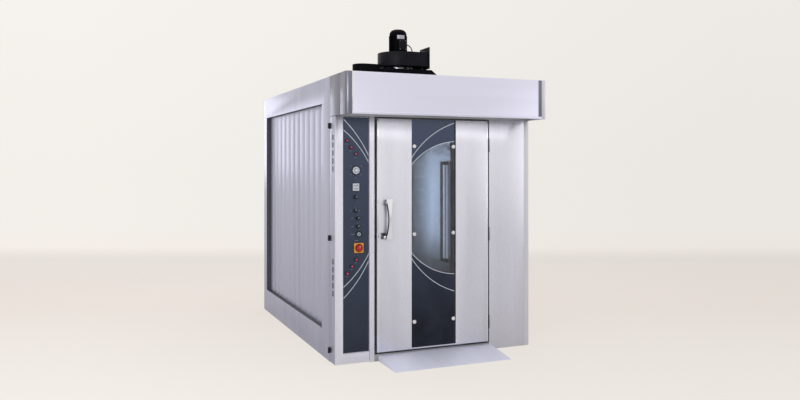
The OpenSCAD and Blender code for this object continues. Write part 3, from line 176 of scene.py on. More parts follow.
def reach_along(tree, vector, axis):
    """How far a vector reaches along an axis."""
    return add_node(tree, "VectorMath", {0: vector, 1: axis}, operation="DOT_PRODUCT")["Value"]


def mix_colour(tree, share, first, second):
    return add_node(tree, "Mix", {0: share, 6: first, 7: second}, data_type="RGBA")[2]


def new_group(name, inputs, outputs):
    """A node group that takes coordinates and the given inputs, and its two ends.

    An input with three numbers is a vector, and so is the output Normal.
    """
    def add_socket(label, in_out, vector):
        return tree.interface.new_socket(
            label, in_out=in_out, socket_type="NodeSocket" + ("Vector" if vector else "Float"))

    tree = bpy.data.node_groups.new(name, "ShaderNodeTree")
    add_socket("Vector", "INPUT", True)
    for label, default in inputs.items():
        add_socket(label, "INPUT", isinstance(default, tuple)).default_value = default
    for label in outputs:
        add_socket(label, "OUTPUT", label == "Normal")
    return (tree, tree.nodes.new("NodeGroupInput").outputs,
            tree.nodes.new("NodeGroupOutput").inputs)


@cache
def brushed_group():
    """Brushed sheet: fine scratches, broad streaks, and the roughness they leave."""
    tree, start, end = new_group(
        "Brushed sheet", {"Scratches": (300, 300, 6), "Streaks": (9, 9, 0.35),
                          "Roughness": 0.35, "Depth": 0.1}, ("Tone", "Roughness", "Normal"))
    fine = stretched_noise(tree, start["Vector"], start["Scratches"], 3.0)
    broad = stretched_noise(tree, start["Vector"], start["Streaks"], 2.0, 0.45)
    tone = math_node(tree, "ADD", times(tree, fine, 0.35), times(tree, broad, 0.65))
    spread = ramp_between(tree, fine, 0.25, 0.75, -0.06, 0.08)
    feed(tree, end, {"Tone": ramp_between(tree, tone, 0.3, 0.7),
                     "Roughness": math_node(tree, "ADD", start["Roughness"], spread),
                     "Normal": bump_from(tree, fine, start["Depth"], 0.0006)})
    return tree


@cache
def peel_group():
    """Sprayed or moulded skin: a fine orange peel, and a mask of broad unevenness."""
    tree, start, end = new_group("Sprayed skin", {"Grain": 500.0, "Depth": 0.15},
                                 ("Mask", "Normal"))
    peel = add_node(tree, "TexNoise", {"Vector": start["Vector"], "Scale": start["Grain"],
                                       "Detail": 2.0})["Fac"]
    broad = stretched_noise(tree, start["Vector"], (5, 5, 5), 3.0)
    feed(tree, end, {"Mask": ramp_between(tree, broad, 0.35, 0.65),
                     "Normal": bump_from(tree, peel, start["Depth"], 0.0005)})
    return tree


@cache
def dust_group():
    """Dust and flour that settle on whatever faces up."""
    tree, start, end = new_group("Settled dust", {"Amount": 0.4}, ("Mask",))
    normal = add_node(tree, "NewGeometry")["Normal"]
    height = add_node(tree, "SeparateXYZ", {"Vector": normal})["Z"]
    clouds = stretched_noise(tree, start["Vector"], (14, 14, 14), 6.0)
    settled = times(tree, ramp_between(tree, height, 0.6, 1.0),
                    ramp_between(tree, clouds, 0.35, 0.75))
    feed(tree, end, {"Mask": times(tree, settled, start["Amount"])})
    return tree


@cache
def height_group():
    """How far up a piece a point lies, from 0 at Low to 1 at High."""
    tree, start, end = new_group("Height share", {"Low": 0.0, "High": 2.0}, ("Share",))
    height = add_node(tree, "SeparateXYZ", {"Vector": start["Vector"]})["Z"]
    feed(tree, end, {"Share": ramp_between(tree, height, start["Low"], start["High"])})
    return tree


# ---------------------------------------------------------------- finishes


def new_material(name):
    """A material with its tree, its shader's inputs and the piece's own coordinates."""
    material = bpy.data.materials.new(name)
    material.use_nodes = True
    tree = material.node_tree
    place = add_node(tree, "TexCoord")["Object"]
    return material, tree, tree.nodes["Principled BSDF"].inputs, place


def use_group(tree, group, place, **values):
    return add_node(tree, "Group", {"Vector": place, **values}, node_tree=group())


def shade(colour, factor):
    return tuple(min(1.0, part * factor) for part in colour[:3])


# How scratches and streaks are stretched, by the axis along which they run
LENGTHWISE = {"X": ((8, 420, 420), (0.5, 11, 11)), "Y": ((420, 8, 420), (11, 0.5, 11)),
              "Z": ((420, 420, 8), (9, 9, 0.4))}


def brushed(tree, shader, place, colour, grain, roughness, contrast=0.16, metallic=1.0,
            dust=0.0, streaks=None, painted_shade=None):
    """Brushed sheet whose scratches run along one axis.

    painted_shade is (low, high, factor): painted shade, which makes the sheet darker by that
    factor below low.
    """
    scratches, broad = LENGTHWISE[grain]
    sheet = use_group(tree, brushed_group, place, Scratches=scratches,
                      Streaks=streaks or broad, Roughness=roughness, Depth=0.12)

    def tones(factor):
        return mix_colour(tree, sheet["Tone"], shade(colour, factor * (1 - contrast)),
                          shade(colour, factor * (1 + contrast)))

    base = tones(1)
    # Painted shade: the darker tones below low are blended in up to high.
    if painted_shade:
        share = use_group(tree, height_group, place, Low=painted_shade[0], High=painted_shade[1])["Share"]
        base = mix_colour(tree, share, tones(painted_shade[2]), base)
    if dust:
        film = use_group(tree, dust_group, place, Amount=dust)["Mask"]
        base = mix_colour(tree, film, base, (0.42, 0.40, 0.37))
    feed(tree, shader, {"Base Color": base, "Roughness": sheet["Roughness"],
                        "Normal": sheet["Normal"], "Metallic": metallic})


def sprayed(tree, shader, place, colour, roughness, depth, dust=0.0, lighter=1.8,
            specular=0.5):
    """Powder paint or moulded plastic with a fine skin and a little dust."""
    skin = use_group(tree, peel_group, place, Grain=420.0, Depth=depth)
    film = use_group(tree, dust_group, place, Amount=dust)["Mask"]
    base = mix_colour(tree, skin["Mask"], colour, shade(colour, lighter))
    feed(tree, shader, {
        "Base Color": mix_colour(tree, film, base, (0.30, 0.29, 0.28)),
        "Roughness": ramp_between(tree, skin["Mask"], 0, 1, roughness - 0.05, roughness + 0.08),
        "Normal": skin["Normal"], "Specular IOR Level": specular})


def graded(tree, shader, place, top, bottom, low, high, roughness, specular):
    """An enamelled surface whose colour changes with height, darker towards the bottom as
    painted shade, with faint unevenness.
    """
    share = use_group(tree, height_group, place, Low=low, High=high)["Share"]
    skin = use_group(tree, peel_group, place, Grain=300.0, Depth=0.05)
    base = mix_colour(tree, times(tree, skin["Mask"], 0.08),
                      mix_colour(tree, share, bottom, top), shade(top, 1.35))
    feed(tree, shader, {
        "Base Color": base, "Normal": skin["Normal"], "Specular IOR Level": specular,
        "Roughness": ramp_between(tree, skin["Mask"], 0, 1, roughness, roughness + 0.06)})


def clear_pane(tree, shader, place, colour):
    """Window glass with a faint film on it."""
    skin = use_group(tree, peel_group, place, Grain=60.0, Depth=0.02)
    feed(tree, shader, {
        "Base Color": mix_colour(tree, times(tree, skin["Mask"], 0.25), colour,
                                 shade(colour, 0.85)),
        "Roughness": ramp_between(tree, skin["Mask"], 0, 1, 0.02, 0.05),
        "Transmission Weight": 1.0, "IOR": 1.45})


def lit_glass(tree, shader, place, colour, strength):
    """Glass over a lamp: it glows evenly, a little less in places."""
    skin = use_group(tree, peel_group, place, Grain=80.0, Depth=0.1)
    feed(tree, shader, {
        "Base Color": mix_colour(tree, skin["Mask"], colour, shade(colour, 0.8)),
        "Emission Color": mix_colour(tree, skin["Mask"], colour, shade(colour, 0.9)),
        "Normal": skin["Normal"], "Emission Strength": strength, "Roughness": 0.3})


def felted(tree, shader, place, colour):
    """Mineral wool: loose fibres in two colours."""
    fibres = stretched_noise(tree, place, (60, 60, 240), 8.0, 0.7)
    feed(tree, shader, {
        "Base Color": mix_colour(tree, ramp_between(tree, fibres, 0.3, 0.7),
                                 shade(colour, 0.6), colour),
        "Normal": bump_from(tree, fibres, 0.8, 0.004), "Roughness": 0.95})


@cache
def finish_table():
    """Each maker's finishes: the name, the colour and the maker's further settings."""
    chosen = colours()
    front, side, slate, paint = (
        chosen.front_steel, chosen.side_steel, chosen.slate, chosen.paint)
    panel_low, panel_high = (corner.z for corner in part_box("control_panel"))
    glass_low, glass_high = (corner.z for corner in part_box("door_outer_glass"))
    return {
        # colour, grain, roughness, contrast, metallic, dust, streaks, painted shade
        brushed: {
            # The front steel is painted darker towards the bottom: painted shade.
            "front steel": (front, "Z", 0.3, 0.05, 0.8, 0, None, (0.1, 1.7, 0.8)),
            "stile steel": (front, "Z", 0.3, 0.04, 0.8),
            # A lighter steel for the right-hand corners: painted light.
            "lit corner steel": ((0.70, 0.70, 0.76), "Z", 0.4, 0.04, 0.8),
            "hood steel": ((0.78, 0.785, 0.93), "X", 0.34, 0.03, 0.85, 0.1),
            # A darkened copy of the side steel for the hood's left end and right hem: painted
            # shade.
            "shaded hood end steel": (shade(side, 0.48), "Z", 0.34, 0.06),
            "side steel": (side, "Z", 0.4, 0.1, 1, 0.2),
            "field steel": (shade(side, 1.08), "Z", 0.44, 0.09, 1, 0, (9, 9, 0.25)),
            # Dark dull steel: the chamber lamp's housing and cover, and painted shade on the
            # reveals round the ribbed fields.
            "dark steel and painted shade": ((0.09, 0.09, 0.105), "Z", 0.6, 0.1),
            "rear steel": (side, "Z", 0.45),
            "roof steel": (side, "Y", 0.5, 0.16, 1, 0.7),
            "ramp steel": (shade(front, 0.99), "Y", 0.55, 0.04, 0.2),
            "chamber steel": ((0.55, 0.58, 0.63), "Z", 0.4, 0.1),
            "scaled steel": ((0.23, 0.19, 0.17), "Z", 0.6, 0.35, 1, 0, (12, 12, 12)),
            "zinc sheet": ((0.36, 0.37, 0.39), "Z", 0.55, 0.12, 1, 0, (7, 7, 7)),
            "bare plate": ((0.45, 0.44, 0.50), "X", 0.45, 0.16, 0.6),
            "polished steel": ((0.86, 0.86, 0.89), "Z", 0.13, 0.05),
            "bright steel": ((0.88, 0.92, 0.98), "Z", 0.15, 0.03),
            "printed silver": ((0.66, 0.71, 0.78), "Z", 0.4, 0.04, 0.5),
            # Dark steel that paints shade on the handle's flanks.
            "shaded handle flank": ((0.035, 0.035, 0.045), "Z", 0.4, 0.1),
            "mount steel": ((0.15, 0.15, 0.17), "Z", 0.35, 0.15),
            "blackened steel": ((0.03, 0.03, 0.035), "Z", 0.5),
        },
        # colour, roughness, depth of the skin, dust, how much lighter, specular
        sprayed: {
            "black paint": (paint, 0.5, 0.25, 0.02, 1.8, 0.03),
            "fan side paint": (shade(paint, 2.2), 0.4, 0.2, 0.02, 1.8, 0.11),
            "hinge black": ((0.008, 0.008, 0.010), 0.4, 0.2, 0.1, 1.8, 0.25),
            # Flat black without sheen: painted shade in the vent slots.
            "vent shadow black": ((0.008, 0.008, 0.010), 0.8, 0.2, 0, 1.8, 0),
            "black plastic": ((0.006, 0.006, 0.007), 0.28, 0.1, 0.05, 1.8, 0.3),
            "matte black": ((0.010, 0.010, 0.012), 0.6, 0.4, 0.1, 1.8, 0.2),
            "seal rubber": ((0.012, 0.012, 0.014), 0.7, 0.4, 0.1),
            "cable rubber": ((0.010, 0.010, 0.010), 0.6, 0.3, 0.05, 1.8, 0.2),
            "white plastic": ((0.70, 0.71, 0.74), 0.3, 0.05, 0, 1.1),
            "grey plastic": ((0.35, 0.37, 0.41), 0.3, 0.05, 0, 1.15),
            "control case": ((0.28, 0.29, 0.31), 0.5, 0.15, 0, 1.2),
            "white marking": ((0.58, 0.62, 0.68), 0.5, 0.05, 0, 1.1),
            "faded marking": ((0.20, 0.22, 0.27), 0.5, 0.05, 0, 1.15, 0.2),
            "inlay slate": ((0.10, 0.11, 0.14), 0.4, 0.05, 0, 1.2),
            "display field": ((0.50, 0.54, 0.58), 0.15, 0.02, 0, 1.15),
            "display digit": ((0.05, 0.06, 0.08), 0.2, 0.02),
            "yellow plastic": (chosen.switch_plate, 0.35, 0.08, 0, 1.15),
            "red plastic": ((0.42, 0.012, 0.02), 0.3, 0.08, 0, 1.3),
            # Dark red that paints the shade round the main switch's knob.
            "knob shade red plastic": ((0.10, 0.004, 0.008), 0.4, 0.08, 0, 1.2, 0.2),
            "red lens": (chosen.lens, 0.12, 0.02, 0, 1.3),
        },
        # top colour, bottom colour, low, high, roughness, specular; the darker bottom colour is
        # painted shade
        graded: {
            "slate panel": (slate, shade(slate, 0.4), panel_low, panel_high, 0.34, 0.2),
            "glass print": (shade(slate, 1.2), shade(slate, 0.12), glass_low + 0.1,
                            glass_high, 0.12, 0.14),
        },
        clear_pane: {"vision glass": ((0.62, 0.66, 0.72),),
                     "inner glass": ((0.86, 0.92, 0.97),)},
        lit_glass: {"lamp glass": ((0.72, 0.74, 0.82), 0.5)},
        felted: {"mineral wool": ((0.55, 0.47, 0.28),)},
    }


@cache
def finish(name):
    """The material of that name, made at its first use."""
    material, *ends = new_material(name.capitalize())
    for maker, rows in finish_table().items():
        if name in rows:
            maker(*ends, *rows[name])
    return material


# ---------------------------------------------------------------- modelling


def clear_selection():
    bpy.ops.object.select_all(action="DESELECT")


def activate(piece):
    clear_selection()
    piece.select_set(True)
    bpy.context.view_layer.objects.active = piece


def named(name):
    """Names the object that an operator has just added."""
    piece = bpy.context.active_object
    piece.name = piece.data.name = name
    return piece


def settle(piece):
    """Puts the object's place, turn and size into its mesh."""
    activate(piece)
    bpy.ops.object.transform_apply(location=True, rotation=True, scale=True)
    return piece


def set_out(piece, place, direction):
    """Turns a piece that points up to a direction, and moves it to its place."""
    turn = Vector(UPWARDS).rotation_difference(Vector(direction))
    piece.rotation_euler = turn.to_euler()
    piece.location = place
    return settle(piece)


def apply_modifier(piece, kind, **settings):
    modifier = piece.modifiers.new(kind, kind)
    for key, value in settings.items():
        setattr(modifier, key, value)
    activate(piece)
    bpy.ops.object.modifier_apply(modifier=modifier.name)
    return piece


def ease_edges(piece, width, segments=2, angle=40):
    return apply_modifier(piece, "BEVEL", width=width, segments=segments,
                          limit_method="ANGLE", angle_limit=math.radians(angle))


def edit_all(piece, *steps):
    """Runs edit-mode steps on the whole mesh."""
    activate(piece)
    bpy.ops.object.mode_set(mode="EDIT")
    select_whole()
    for step in steps:
        step()
    bpy.ops.object.mode_set(mode="OBJECT")
    return piece


def select_whole():
    bpy.ops.mesh.select_all(action="SELECT")


def face_outwards():
    bpy.ops.mesh.normals_make_consistent(inside=False)


def hand_over(piece, material, body, slot=None, nodes=()):
    """Gives a piece its finish, smooths it and sets it on its body."""
    piece.data.materials.clear()
    piece.data.materials.append(finish(material))
    activate(piece)
    bpy.ops.object.shade_smooth_by_angle(angle=math.radians(32))
    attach(piece, body)
    if nodes:
        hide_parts(*nodes)
    return piece


def eased_copy(node, material, ease, segments=2, angle=40):
    """A merged copy of a CAD node with eased edges, which stands for the node."""
    mesh = FRAME["nodes"][node].data.copy()
    piece = bpy.data.objects.new(node + "_eased", mesh)
    mesh.name = piece.name
    bpy.context.scene.collection.objects.link(piece)
    edit_all(piece,
             bpy.ops.mesh.customdata_custom_splitnormals_clear,
             lambda: bpy.ops.mesh.remove_doubles(threshold=0.00002),
             lambda: bpy.ops.mesh.dissolve_limited(angle_limit=math.radians(0.3)),
             face_outwards)
    if ease:
        ease_edges(piece, ease, segments, angle)
    return hand_over(piece, material, BODY_OF[node], SLOT_OF[node], [node])


def repaint(piece, material, chosen):
    """Gives the faces that chosen(middle, normal) picks another finish."""
    piece.data.materials.append(finish(material))
    for face in piece.data.polygons:
        if chosen(face.center, face.normal):
            face.material_index = len(piece.data.materials) - 1


def dress_node(node, material):
    """Gives a CAD node that keeps its own mesh a better finish."""
    mesh = FRAME["nodes"][node].data
    mesh.materials.clear()
    mesh.materials.append(finish(material))


def add_box(name, low, high):
    low, high = Vector(low), Vector(high)
    clear_selection()
    bpy.ops.mesh.primitive_cube_add(size=1, location=(low + high) / 2, scale=high - low)
    return settle(named(name))


def eased_box(name, low, high, ease, material, body, slot=None, segments=2):
    return hand_over(ease_edges(add_box(name, low, high), ease, segments), material, body, slot)


def add_turned(name, profile, place, direction, sides=48):
    """A turned piece: a disc drawn out along its axis through (radius, height) pairs."""
    clear_selection()
    bpy.ops.mesh.primitive_circle_add(vertices=sides, radius=profile[0][0], fill_type="NGON",
                                      location=(0, 0, profile[0][1]))
    piece = settle(named(name))

    def draw_out():
        for (r0, h0), (r1, h1) in zip(profile, profile[1:]):
            bpy.ops.mesh.extrude_region_move(
                TRANSFORM_OT_translate={"value": (0, 0, h1 - h0)})
            if r1 != r0:
                bpy.ops.transform.resize(value=(r1 / r0, r1 / r0, 1),
                                         center_override=(0, 0, h1))

    edit_all(piece, draw_out, select_whole, face_outwards)
    return set_out(piece, place, direction)


def join(name, pieces):
    """Joins loose pieces into one object."""
    activate(pieces[0])
    for piece in pieces[1:]:
        piece.select_set(True)
    bpy.ops.object.join()
    return named(name)


def cut_with(piece, cutter, operation="DIFFERENCE"):
    apply_modifier(piece, "BOOLEAN", operation=operation, object=cutter, solver="EXACT")
    bpy.data.objects.remove(cutter)
    return piece


def turned_about(centre, angle, axis):
    """The matrix that turns a piece round an axis through a point."""
    return (Matrix.Translation(centre) @ Matrix.Rotation(angle, 4, axis)
            @ Matrix.Translation(-Vector(centre)))


def copy_moved(piece, name, matrix):
    """A copy with a mesh of its own, moved by a matrix."""
    twin = piece.copy()
    twin.data = piece.data.copy()
    twin.name = name
    twin.data.transform(matrix)
    bpy.context.scene.collection.objects.link(twin)
    return twin


def ring_of(piece, name, count, centre, axis):
    """Copies a piece round an axis and joins the copies."""
    return join(name, [piece] + [
        copy_moved(piece, f"{name}_{step}", turned_about(centre, math.tau * step / count, axis))
        for step in range(1, count)])


def row_of(piece, name, offsets):
    """Copies a piece by offsets from its first place and joins the copies."""
    return join(name, [piece] + [
        copy_moved(piece, f"{name}_{i}", Matrix.Translation(step))
        for i, step in enumerate(offsets)])


def add_stripe(name, circle, front_y, window, body, steps=96):
    """A curved stripe on an upright face, trimmed to a window (x0, x1, z0, z1).

    circle is ((x, z), radius), in millimetres along the front and up.
    """
    centre, radius = (along(circle[0][0]), circle[0][1] / 1000), circle[1] / 1000
    rise = sizes().stripe_rise
    x0, x1, z0, z1 = window
    angles = [math.atan2(z - centre[1], x - centre[0]) for x in (x0, x1) for z in (z0, z1)]
    if max(angles) - min(angles) > math.pi:
        angles = [angle % math.tau for angle in angles]
    first, last = min(angles), max(angles)
    clear_selection()
    bpy.ops.mesh.primitive_plane_add(size=1)
    piece = named(name)
    piece.matrix_world = (
        Matrix.Translation((centre[0], front_y - rise / 2, centre[1]))
        @ Matrix.Rotation(-first, 4, "Y") @ Matrix.Translation((radius, 0, 0))
        @ Matrix.Diagonal((sizes().arc_width, rise, 1, 1)))
    settle(piece)
    edit_all(piece, lambda: bpy.ops.mesh.spin(
        steps=steps, angle=last - first, center=(centre[0], front_y, centre[1]),
        axis=(0, 1, 0)), select_whole, face_outwards)
    for point, normal in (((x0, 0, 0), (-1, 0, 0)), ((x1, 0, 0), (1, 0, 0)),
                          ((0, 0, z0), (0, 0, -1)), ((0, 0, z1), (0, 0, 1))):
        edit_all(piece, lambda: bpy.ops.mesh.bisect(
            plane_co=point, plane_no=normal, use_fill=True, clear_outer=True))
    hand_over(edit_all(piece, face_outwards), "printed silver", body, "bright_steel")


def add_screw(name, place, direction, radius, rise):
    """A low domed screw head with its slot."""
    head = add_turned(name, [(radius, 0), (radius, rise * 0.5), (radius * 0.8, rise),
                             (radius * 0.25, rise * 1.15)], (0, 0, 0), UPWARDS, 16)
    cut_with(head, add_box(name + "_slot", (-radius * 0.8, -radius * 0.12, rise * 0.7),
                           (radius * 0.8, radius * 0.12, rise * 2)))
    return set_out(head, place, direction)


# ---------------------------------------------------------------- operators


class Builder:
    """What the operators share: each adds its pieces in build."""

    def execute(self, context):
        self.build()
        return {"FINISHED"}


class StageOperator(Builder, bpy.types.Operator):
    """Adds the camera, the floor, the studio's sky and its lamps."""
    bl_idname = "rack_oven.stage"
    bl_label = "Studio, lights and camera"

    camera_place = CORNER + Vector((-1.882, -5.858, 1.654))
    view_turn = math.radians(-22.8)
    right_axis = Vector((math.cos(view_turn), math.sin(view_turn), 0))
    depth_axis = Vector((-math.sin(view_turn), math.cos(view_turn), 0))
    horizon = (0.88, 0.845, 0.805)
    # The picture is a little brighter on its left side than on its right
    left_light, right_light = 1.02, 0.94

    def build(self):
        self.add_camera()
        self.add_floor()
        self.add_sky()
        self.add_lamps()
        bpy.context.scene.view_settings.view_transform = "Standard"

    def add_camera(self):
        bpy.ops.object.camera_add(location=self.camera_place,
                                  rotation=(math.pi / 2, 0, self.view_turn))
        camera = bpy.context.active_object
        camera.name = "Photo camera"
        camera.data.lens = 33.525
        camera.data.sensor_width = 36
        camera.data.shift_y = -0.04375
        camera.data.clip_end = 1000
        bpy.context.scene.camera = camera

    def seen_by(self, tree, *kinds):
        """A mask for the rays of these kinds."""
        rays = add_node(tree, "LightPath")
        mask = rays[kinds[0]]
        for kind in kinds[1:]:
            mask = math_node(tree, "MAXIMUM", mask, rays[kind])
        return mask

    def add_floor(self):
        """A floor that shows plain tones to the camera and takes the real shadow near by."""
        clear_selection()
        bpy.ops.mesh.primitive_grid_add(x_subdivisions=4, y_subdivisions=4, size=800)
        floor = named("studio_floor")
        material, tree, shader, place = new_material("Studio floor")
        depth, aside = (
            math_node(tree, "SUBTRACT", reach_along(tree, place, axis),
                      self.camera_place.dot(axis))
            for axis in (self.depth_axis, self.right_axis))
        shown = mix_colour(tree, ramp_between(tree, depth, 5.0, 8.6),
                           (1.0, 0.95, 0.89), (0.91, 0.835, 0.765))
        shown = mix_colour(tree, ramp_between(tree, depth, 9.6, 19.0), shown, self.horizon)
        grain = stretched_noise(tree, place, (3, 3, 3), 3.0)
        feed(tree, shader, {
            "Base Color": mix_colour(tree, grain, shade(colours().floor, 0.97),
                                     colours().floor),
            "Roughness": 0.9, "Specular IOR Level": 0.1})
        far = ramp_between(tree, depth, 8.0, 15.0)
        plain, mirrored = (
            times(tree, self.seen_by(tree, *kinds), math_node(tree, "MAXIMUM", far, least))
            for kinds, least in ((("Is Camera Ray",), 0.74),
                                 (("Is Glossy Ray", "Is Transmission Ray"), 0.35)))
        spread = math_node(tree, "DIVIDE", aside, math_node(tree, "MAXIMUM", depth, 5.0))
        fall = ramp_between(tree, spread, -0.42, 0.42, self.left_light, self.right_light)
        glow = add_node(tree, "Emission", {"Color": shown, "Strength": fall})["Emission"]
        blend = add_node(tree, "MixShader", {
            0: math_node(tree, "MAXIMUM", plain, mirrored),
            1: tree.nodes["Principled BSDF"].outputs["BSDF"], 2: glow})["Shader"]
        feed(tree, tree.nodes["Material Output"].inputs, {"Surface": blend})
        floor.data.materials.append(material)

    def add_sky(self):
        world = bpy.context.scene.world or bpy.data.worlds.new("Studio")
        bpy.context.scene.world = world
        world.use_nodes = True
        tree = world.node_tree
        tree.nodes.clear()
        direction = add_node(tree, "TexCoord")["Generated"]
        height = add_node(tree, "SeparateXYZ", {"Vector": direction})["Z"]
        sky = mix_colour(tree, ramp_between(tree, height, 0.0, 0.2),
                         self.horizon, (0.905, 0.871, 0.831))
        seen = self.seen_by(tree, "Is Camera Ray", "Is Glossy Ray", "Is Transmission Ray")
        across = reach_along(tree, direction, self.right_axis)
        ground = add_node(tree, "Background", {
            "Color": mix_colour(tree, seen, (0.62, 0.63, 0.68), sky),
            "Strength": ramp_between(tree, across, -0.4, 0.4, self.left_light,
                                     self.right_light)})["Background"]
        add_node(tree, "OutputWorld", {"Surface": ground})

    def add_lamps(self):
        """Large soft lamps, and the oven's own light on its right wall."""
        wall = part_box("chamber_right_wall")[0].x
        # name, place, target, size, watts, colour
        lamps = (
            ("Key softbox", (-6.5, -8.5, 3.0), (0, -1, 1.2), (5, 4), 265, (0.93, 0.95, 1)),
            ("Right fill", (8.5, -4.2, 2.6), (0.5, -1.3, 1.4), (6.5, 5), 48, (0.93, 0.94, 1)),
            ("Hood card", (0, FRONT_Y - 0.2, 2.03), (0, FRONT_Y, 1.75), (1.7, 0.15), 0.45,
             (1, 0.98, 0.95)),
            ("Left rear softbox", (-1.42, 3.8, 2.15), (CORNER.x, 0.9, 1.9), (0.5, 1.3), 7,
             (0.90, 0.90, 1)),
            ("Top softbox", (0.5, 0.0, 8.0), (0, 0, 2.0), (7, 7), 220, (0.95, 0.97, 1)),
            ("Chamber light", (wall - 0.55, FRONT_Y + 0.85, 1.3),
             (wall - 0.12, FRONT_Y + 1.48, 1.25), (0.25, 1.1), 2.05, (0.97, 0.96, 0.98)))
        for name, place, target, size, watts, colour in lamps:
            clear_selection()
            bpy.ops.object.light_add(type="AREA", location=place)
            lamp = bpy.context.active_object
            lamp.name = name
            lamp.data.shape = "RECTANGLE"
            lamp.data.size, lamp.data.size_y = size
            lamp.data.energy = watts
            lamp.data.color = colour
            lamp.visible_camera = False
            aim = (Vector(target) - Vector(place)).to_track_quat("-Z", "Y")
            lamp.rotation_euler = aim.to_euler()
        bpy.data.objects["Chamber light"].data.spread = math.radians(75)


class CasingOperator(Builder, bpy.types.Operator):
    """Eases the casing's sheets and panels and adds the seams' screws."""
    bl_idname = "rack_oven.casing"
    bl_label = "Casing"

    def build(self):
        for node, material in (
                ("left_side_frame", "side steel"), ("right_side_frame", "side steel"),
                ("latch_post", "stile steel"), ("fixed_front_panel", "front steel"),
                ("rear_wall", "rear steel"), ("roof_panel", "roof steel")):
            frame = eased_copy(node, material, sizes().panel_ease)
            if "side_frame" in node:
                self.shade_reveals(frame)
            if node == "right_side_frame":
                # The right side's front faces take a lighter steel: painted light on that
                # corner.
                repaint(frame, "lit corner steel", lambda middle, normal: normal.y < -0.3)
        for node in ("left_ribbed_field", "right_ribbed_field"):
            eased_copy(node, "field steel", 0)
        for node in ("base_pan", "front_head", "door_portal", "cabinet_liner"):
            eased_copy(node, "zinc sheet", sizes().sheet_ease)
        eased_copy("ramp", "ramp steel", 0.0012)
        dress_node("insulation", "mineral wool")
        self.add_rear_screws()
        self.add_roof_cover_strips()

    def shade_reveals(self, frame):
        """Paints shade on the cut edges round the ribbed field with dark dull steel."""
        low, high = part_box("left_ribbed_field")
        repaint(frame, "dark steel and painted shade", lambda middle, normal: abs(normal.x) < 0.5
                and low.y - 0.02 < middle.y < high.y + 0.02
                and low.z - 0.02 < middle.z < high.z + 0.02)

    def add_rear_screws(self):
        """Columns of screws at both edges and at both sides of the two seams."""
        low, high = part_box("rear_wall")
        columns = [low.x + 0.04, high.x - 0.04]
        columns += [low.x + (high.x - low.x) * seam + side * 0.03
                    for seam in (1 / 3, 2 / 3) for side in (-1, 1)]
        first = (columns[0], high.y, low.z + 0.12)
        screw = add_screw("rear_screw", first, (0, 1, 0), 0.006, 0.003)
        offsets = [(x - columns[0], 0, row * 0.3) for x in columns for row in range(8)][1:]
        hand_over(row_of(screw, "rear_screws", offsets), "polished steel", "casing")

    def add_roof_cover_strips(self):
        low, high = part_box("roof_panel")
        for percent in (36, 70):
            y = low.y + (high.y - low.y) * percent / 100
            eased_box(f"roof_cover_strip_{percent}", (low.x, y - 0.02, high.z),
                      (high.x, y + 0.02, high.z + 0.002), 0.0008, "roof steel", "casing",
                      "casing_steel")


class HoodOperator(Builder, bpy.types.Operator):
    """Eases the hood's sheets and fits its baffle."""
    bl_idname = "rack_oven.hood"
    bl_label = "Steam hood"

    def build(self):
        eased_copy("hood_front", "hood steel", sizes().sheet_ease)
        ends = eased_copy("hood_ends", "shaded hood end steel", sizes().sheet_ease)
        # The hood's left end keeps the darkened copy and its right end takes the lighter steel:
        # painted shade and painted light.
        repaint(ends, "lit corner steel", lambda middle, normal: middle.x > 0)
        self.add_hems()
        eased_copy("hood_top", "roof steel", 0.001)
        eased_copy("grease_baffle", "zinc sheet", 0.001, 1)

    def add_hems(self):
        """The end sheets' folded hems, which lap the front sheet; the left hem's polished steel
        paints a highlight and the right hem's dark steel paints shade.
        """
        low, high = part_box("hood_front")
        for side, x0, x1, material in (
                ("left", low.x, low.x + 0.009, "polished steel"),
                ("right", high.x - 0.034, high.x, "shaded hood end steel")):
            eased_box(f"hood_hem_{side}", (x0, low.y + 0.0008, low.z + 0.004),
                      (x1, low.y + 0.003, high.z - 0.001), 0.0006, material, "casing",
                      "casing_steel")


class ChamberOperator(Builder, bpy.types.Operator):
    """Dresses the chamber's walls and lights the lamp column."""
    bl_idname = "rack_oven.chamber"
    bl_label = "Baking chamber"

    def build(self):
        for node in ("chamber_left_wall", "chamber_right_wall", "chamber_ceiling", "air_wall"):
            dress_node(node, "chamber steel")
        eased_copy("chamber_lamp", "dark steel and painted shade", 0.002)
        self.add_lamp_panes()
        self.add_slot_shutters()
        for node, material in (("heating_elements", "scaled steel"),
                               ("steam_generator", "scaled steel"),
                               ("circulation_wheel", "zinc sheet"),
                               ("electrical_tray", "control case")):
            dress_node(node, material)
        eased_copy("rack_carrier", "chamber steel", 0.002)

    def add_lamp_panes(self):
        """The lamp's glass: a strip along the housing and one round its near end."""
        low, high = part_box("chamber_lamp")
        z0, z1 = low.z + 0.0365, high.z - 0.0365
        eased_box("lamp_pane", (low.x + 0.002, low.y + 0.0155, z0),
                  (low.x + 0.0059, low.y + 0.06, z1), 0.0008, "lamp glass", "casing",
                  "lamp_glass")
        eased_box("lamp_cover", (low.x + 0.002, low.y + 0.06, z0),
                  (low.x + 0.0059, high.y - 0.0155, z1), 0.0008, "dark steel and painted shade", "casing")
        eased_box("lamp_end_pane", (low.x + 0.003, low.y - 0.004, z0),
                  (high.x - 0.004, low.y + 0.0005, z1), 0.0012, "lamp glass", "casing",
                  "lamp_glass")

    def add_slot_shutters(self):
        """Sliding sheets behind the air wall's slots, as they are set for baking."""
        low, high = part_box("air_wall")
        for side, x0, x1 in (("left", low.x + 0.04, low.x + 0.38),
                             ("right", high.x - 0.38, high.x - 0.04)):
            eased_box(f"slot_shutter_{side}", (x0, high.y + 0.001, low.z + 0.06),
                      (x1, high.y + 0.003, high.z - 0.06), 0.0006, "chamber steel", "casing",
                      SLOT_OF["air_wall"])


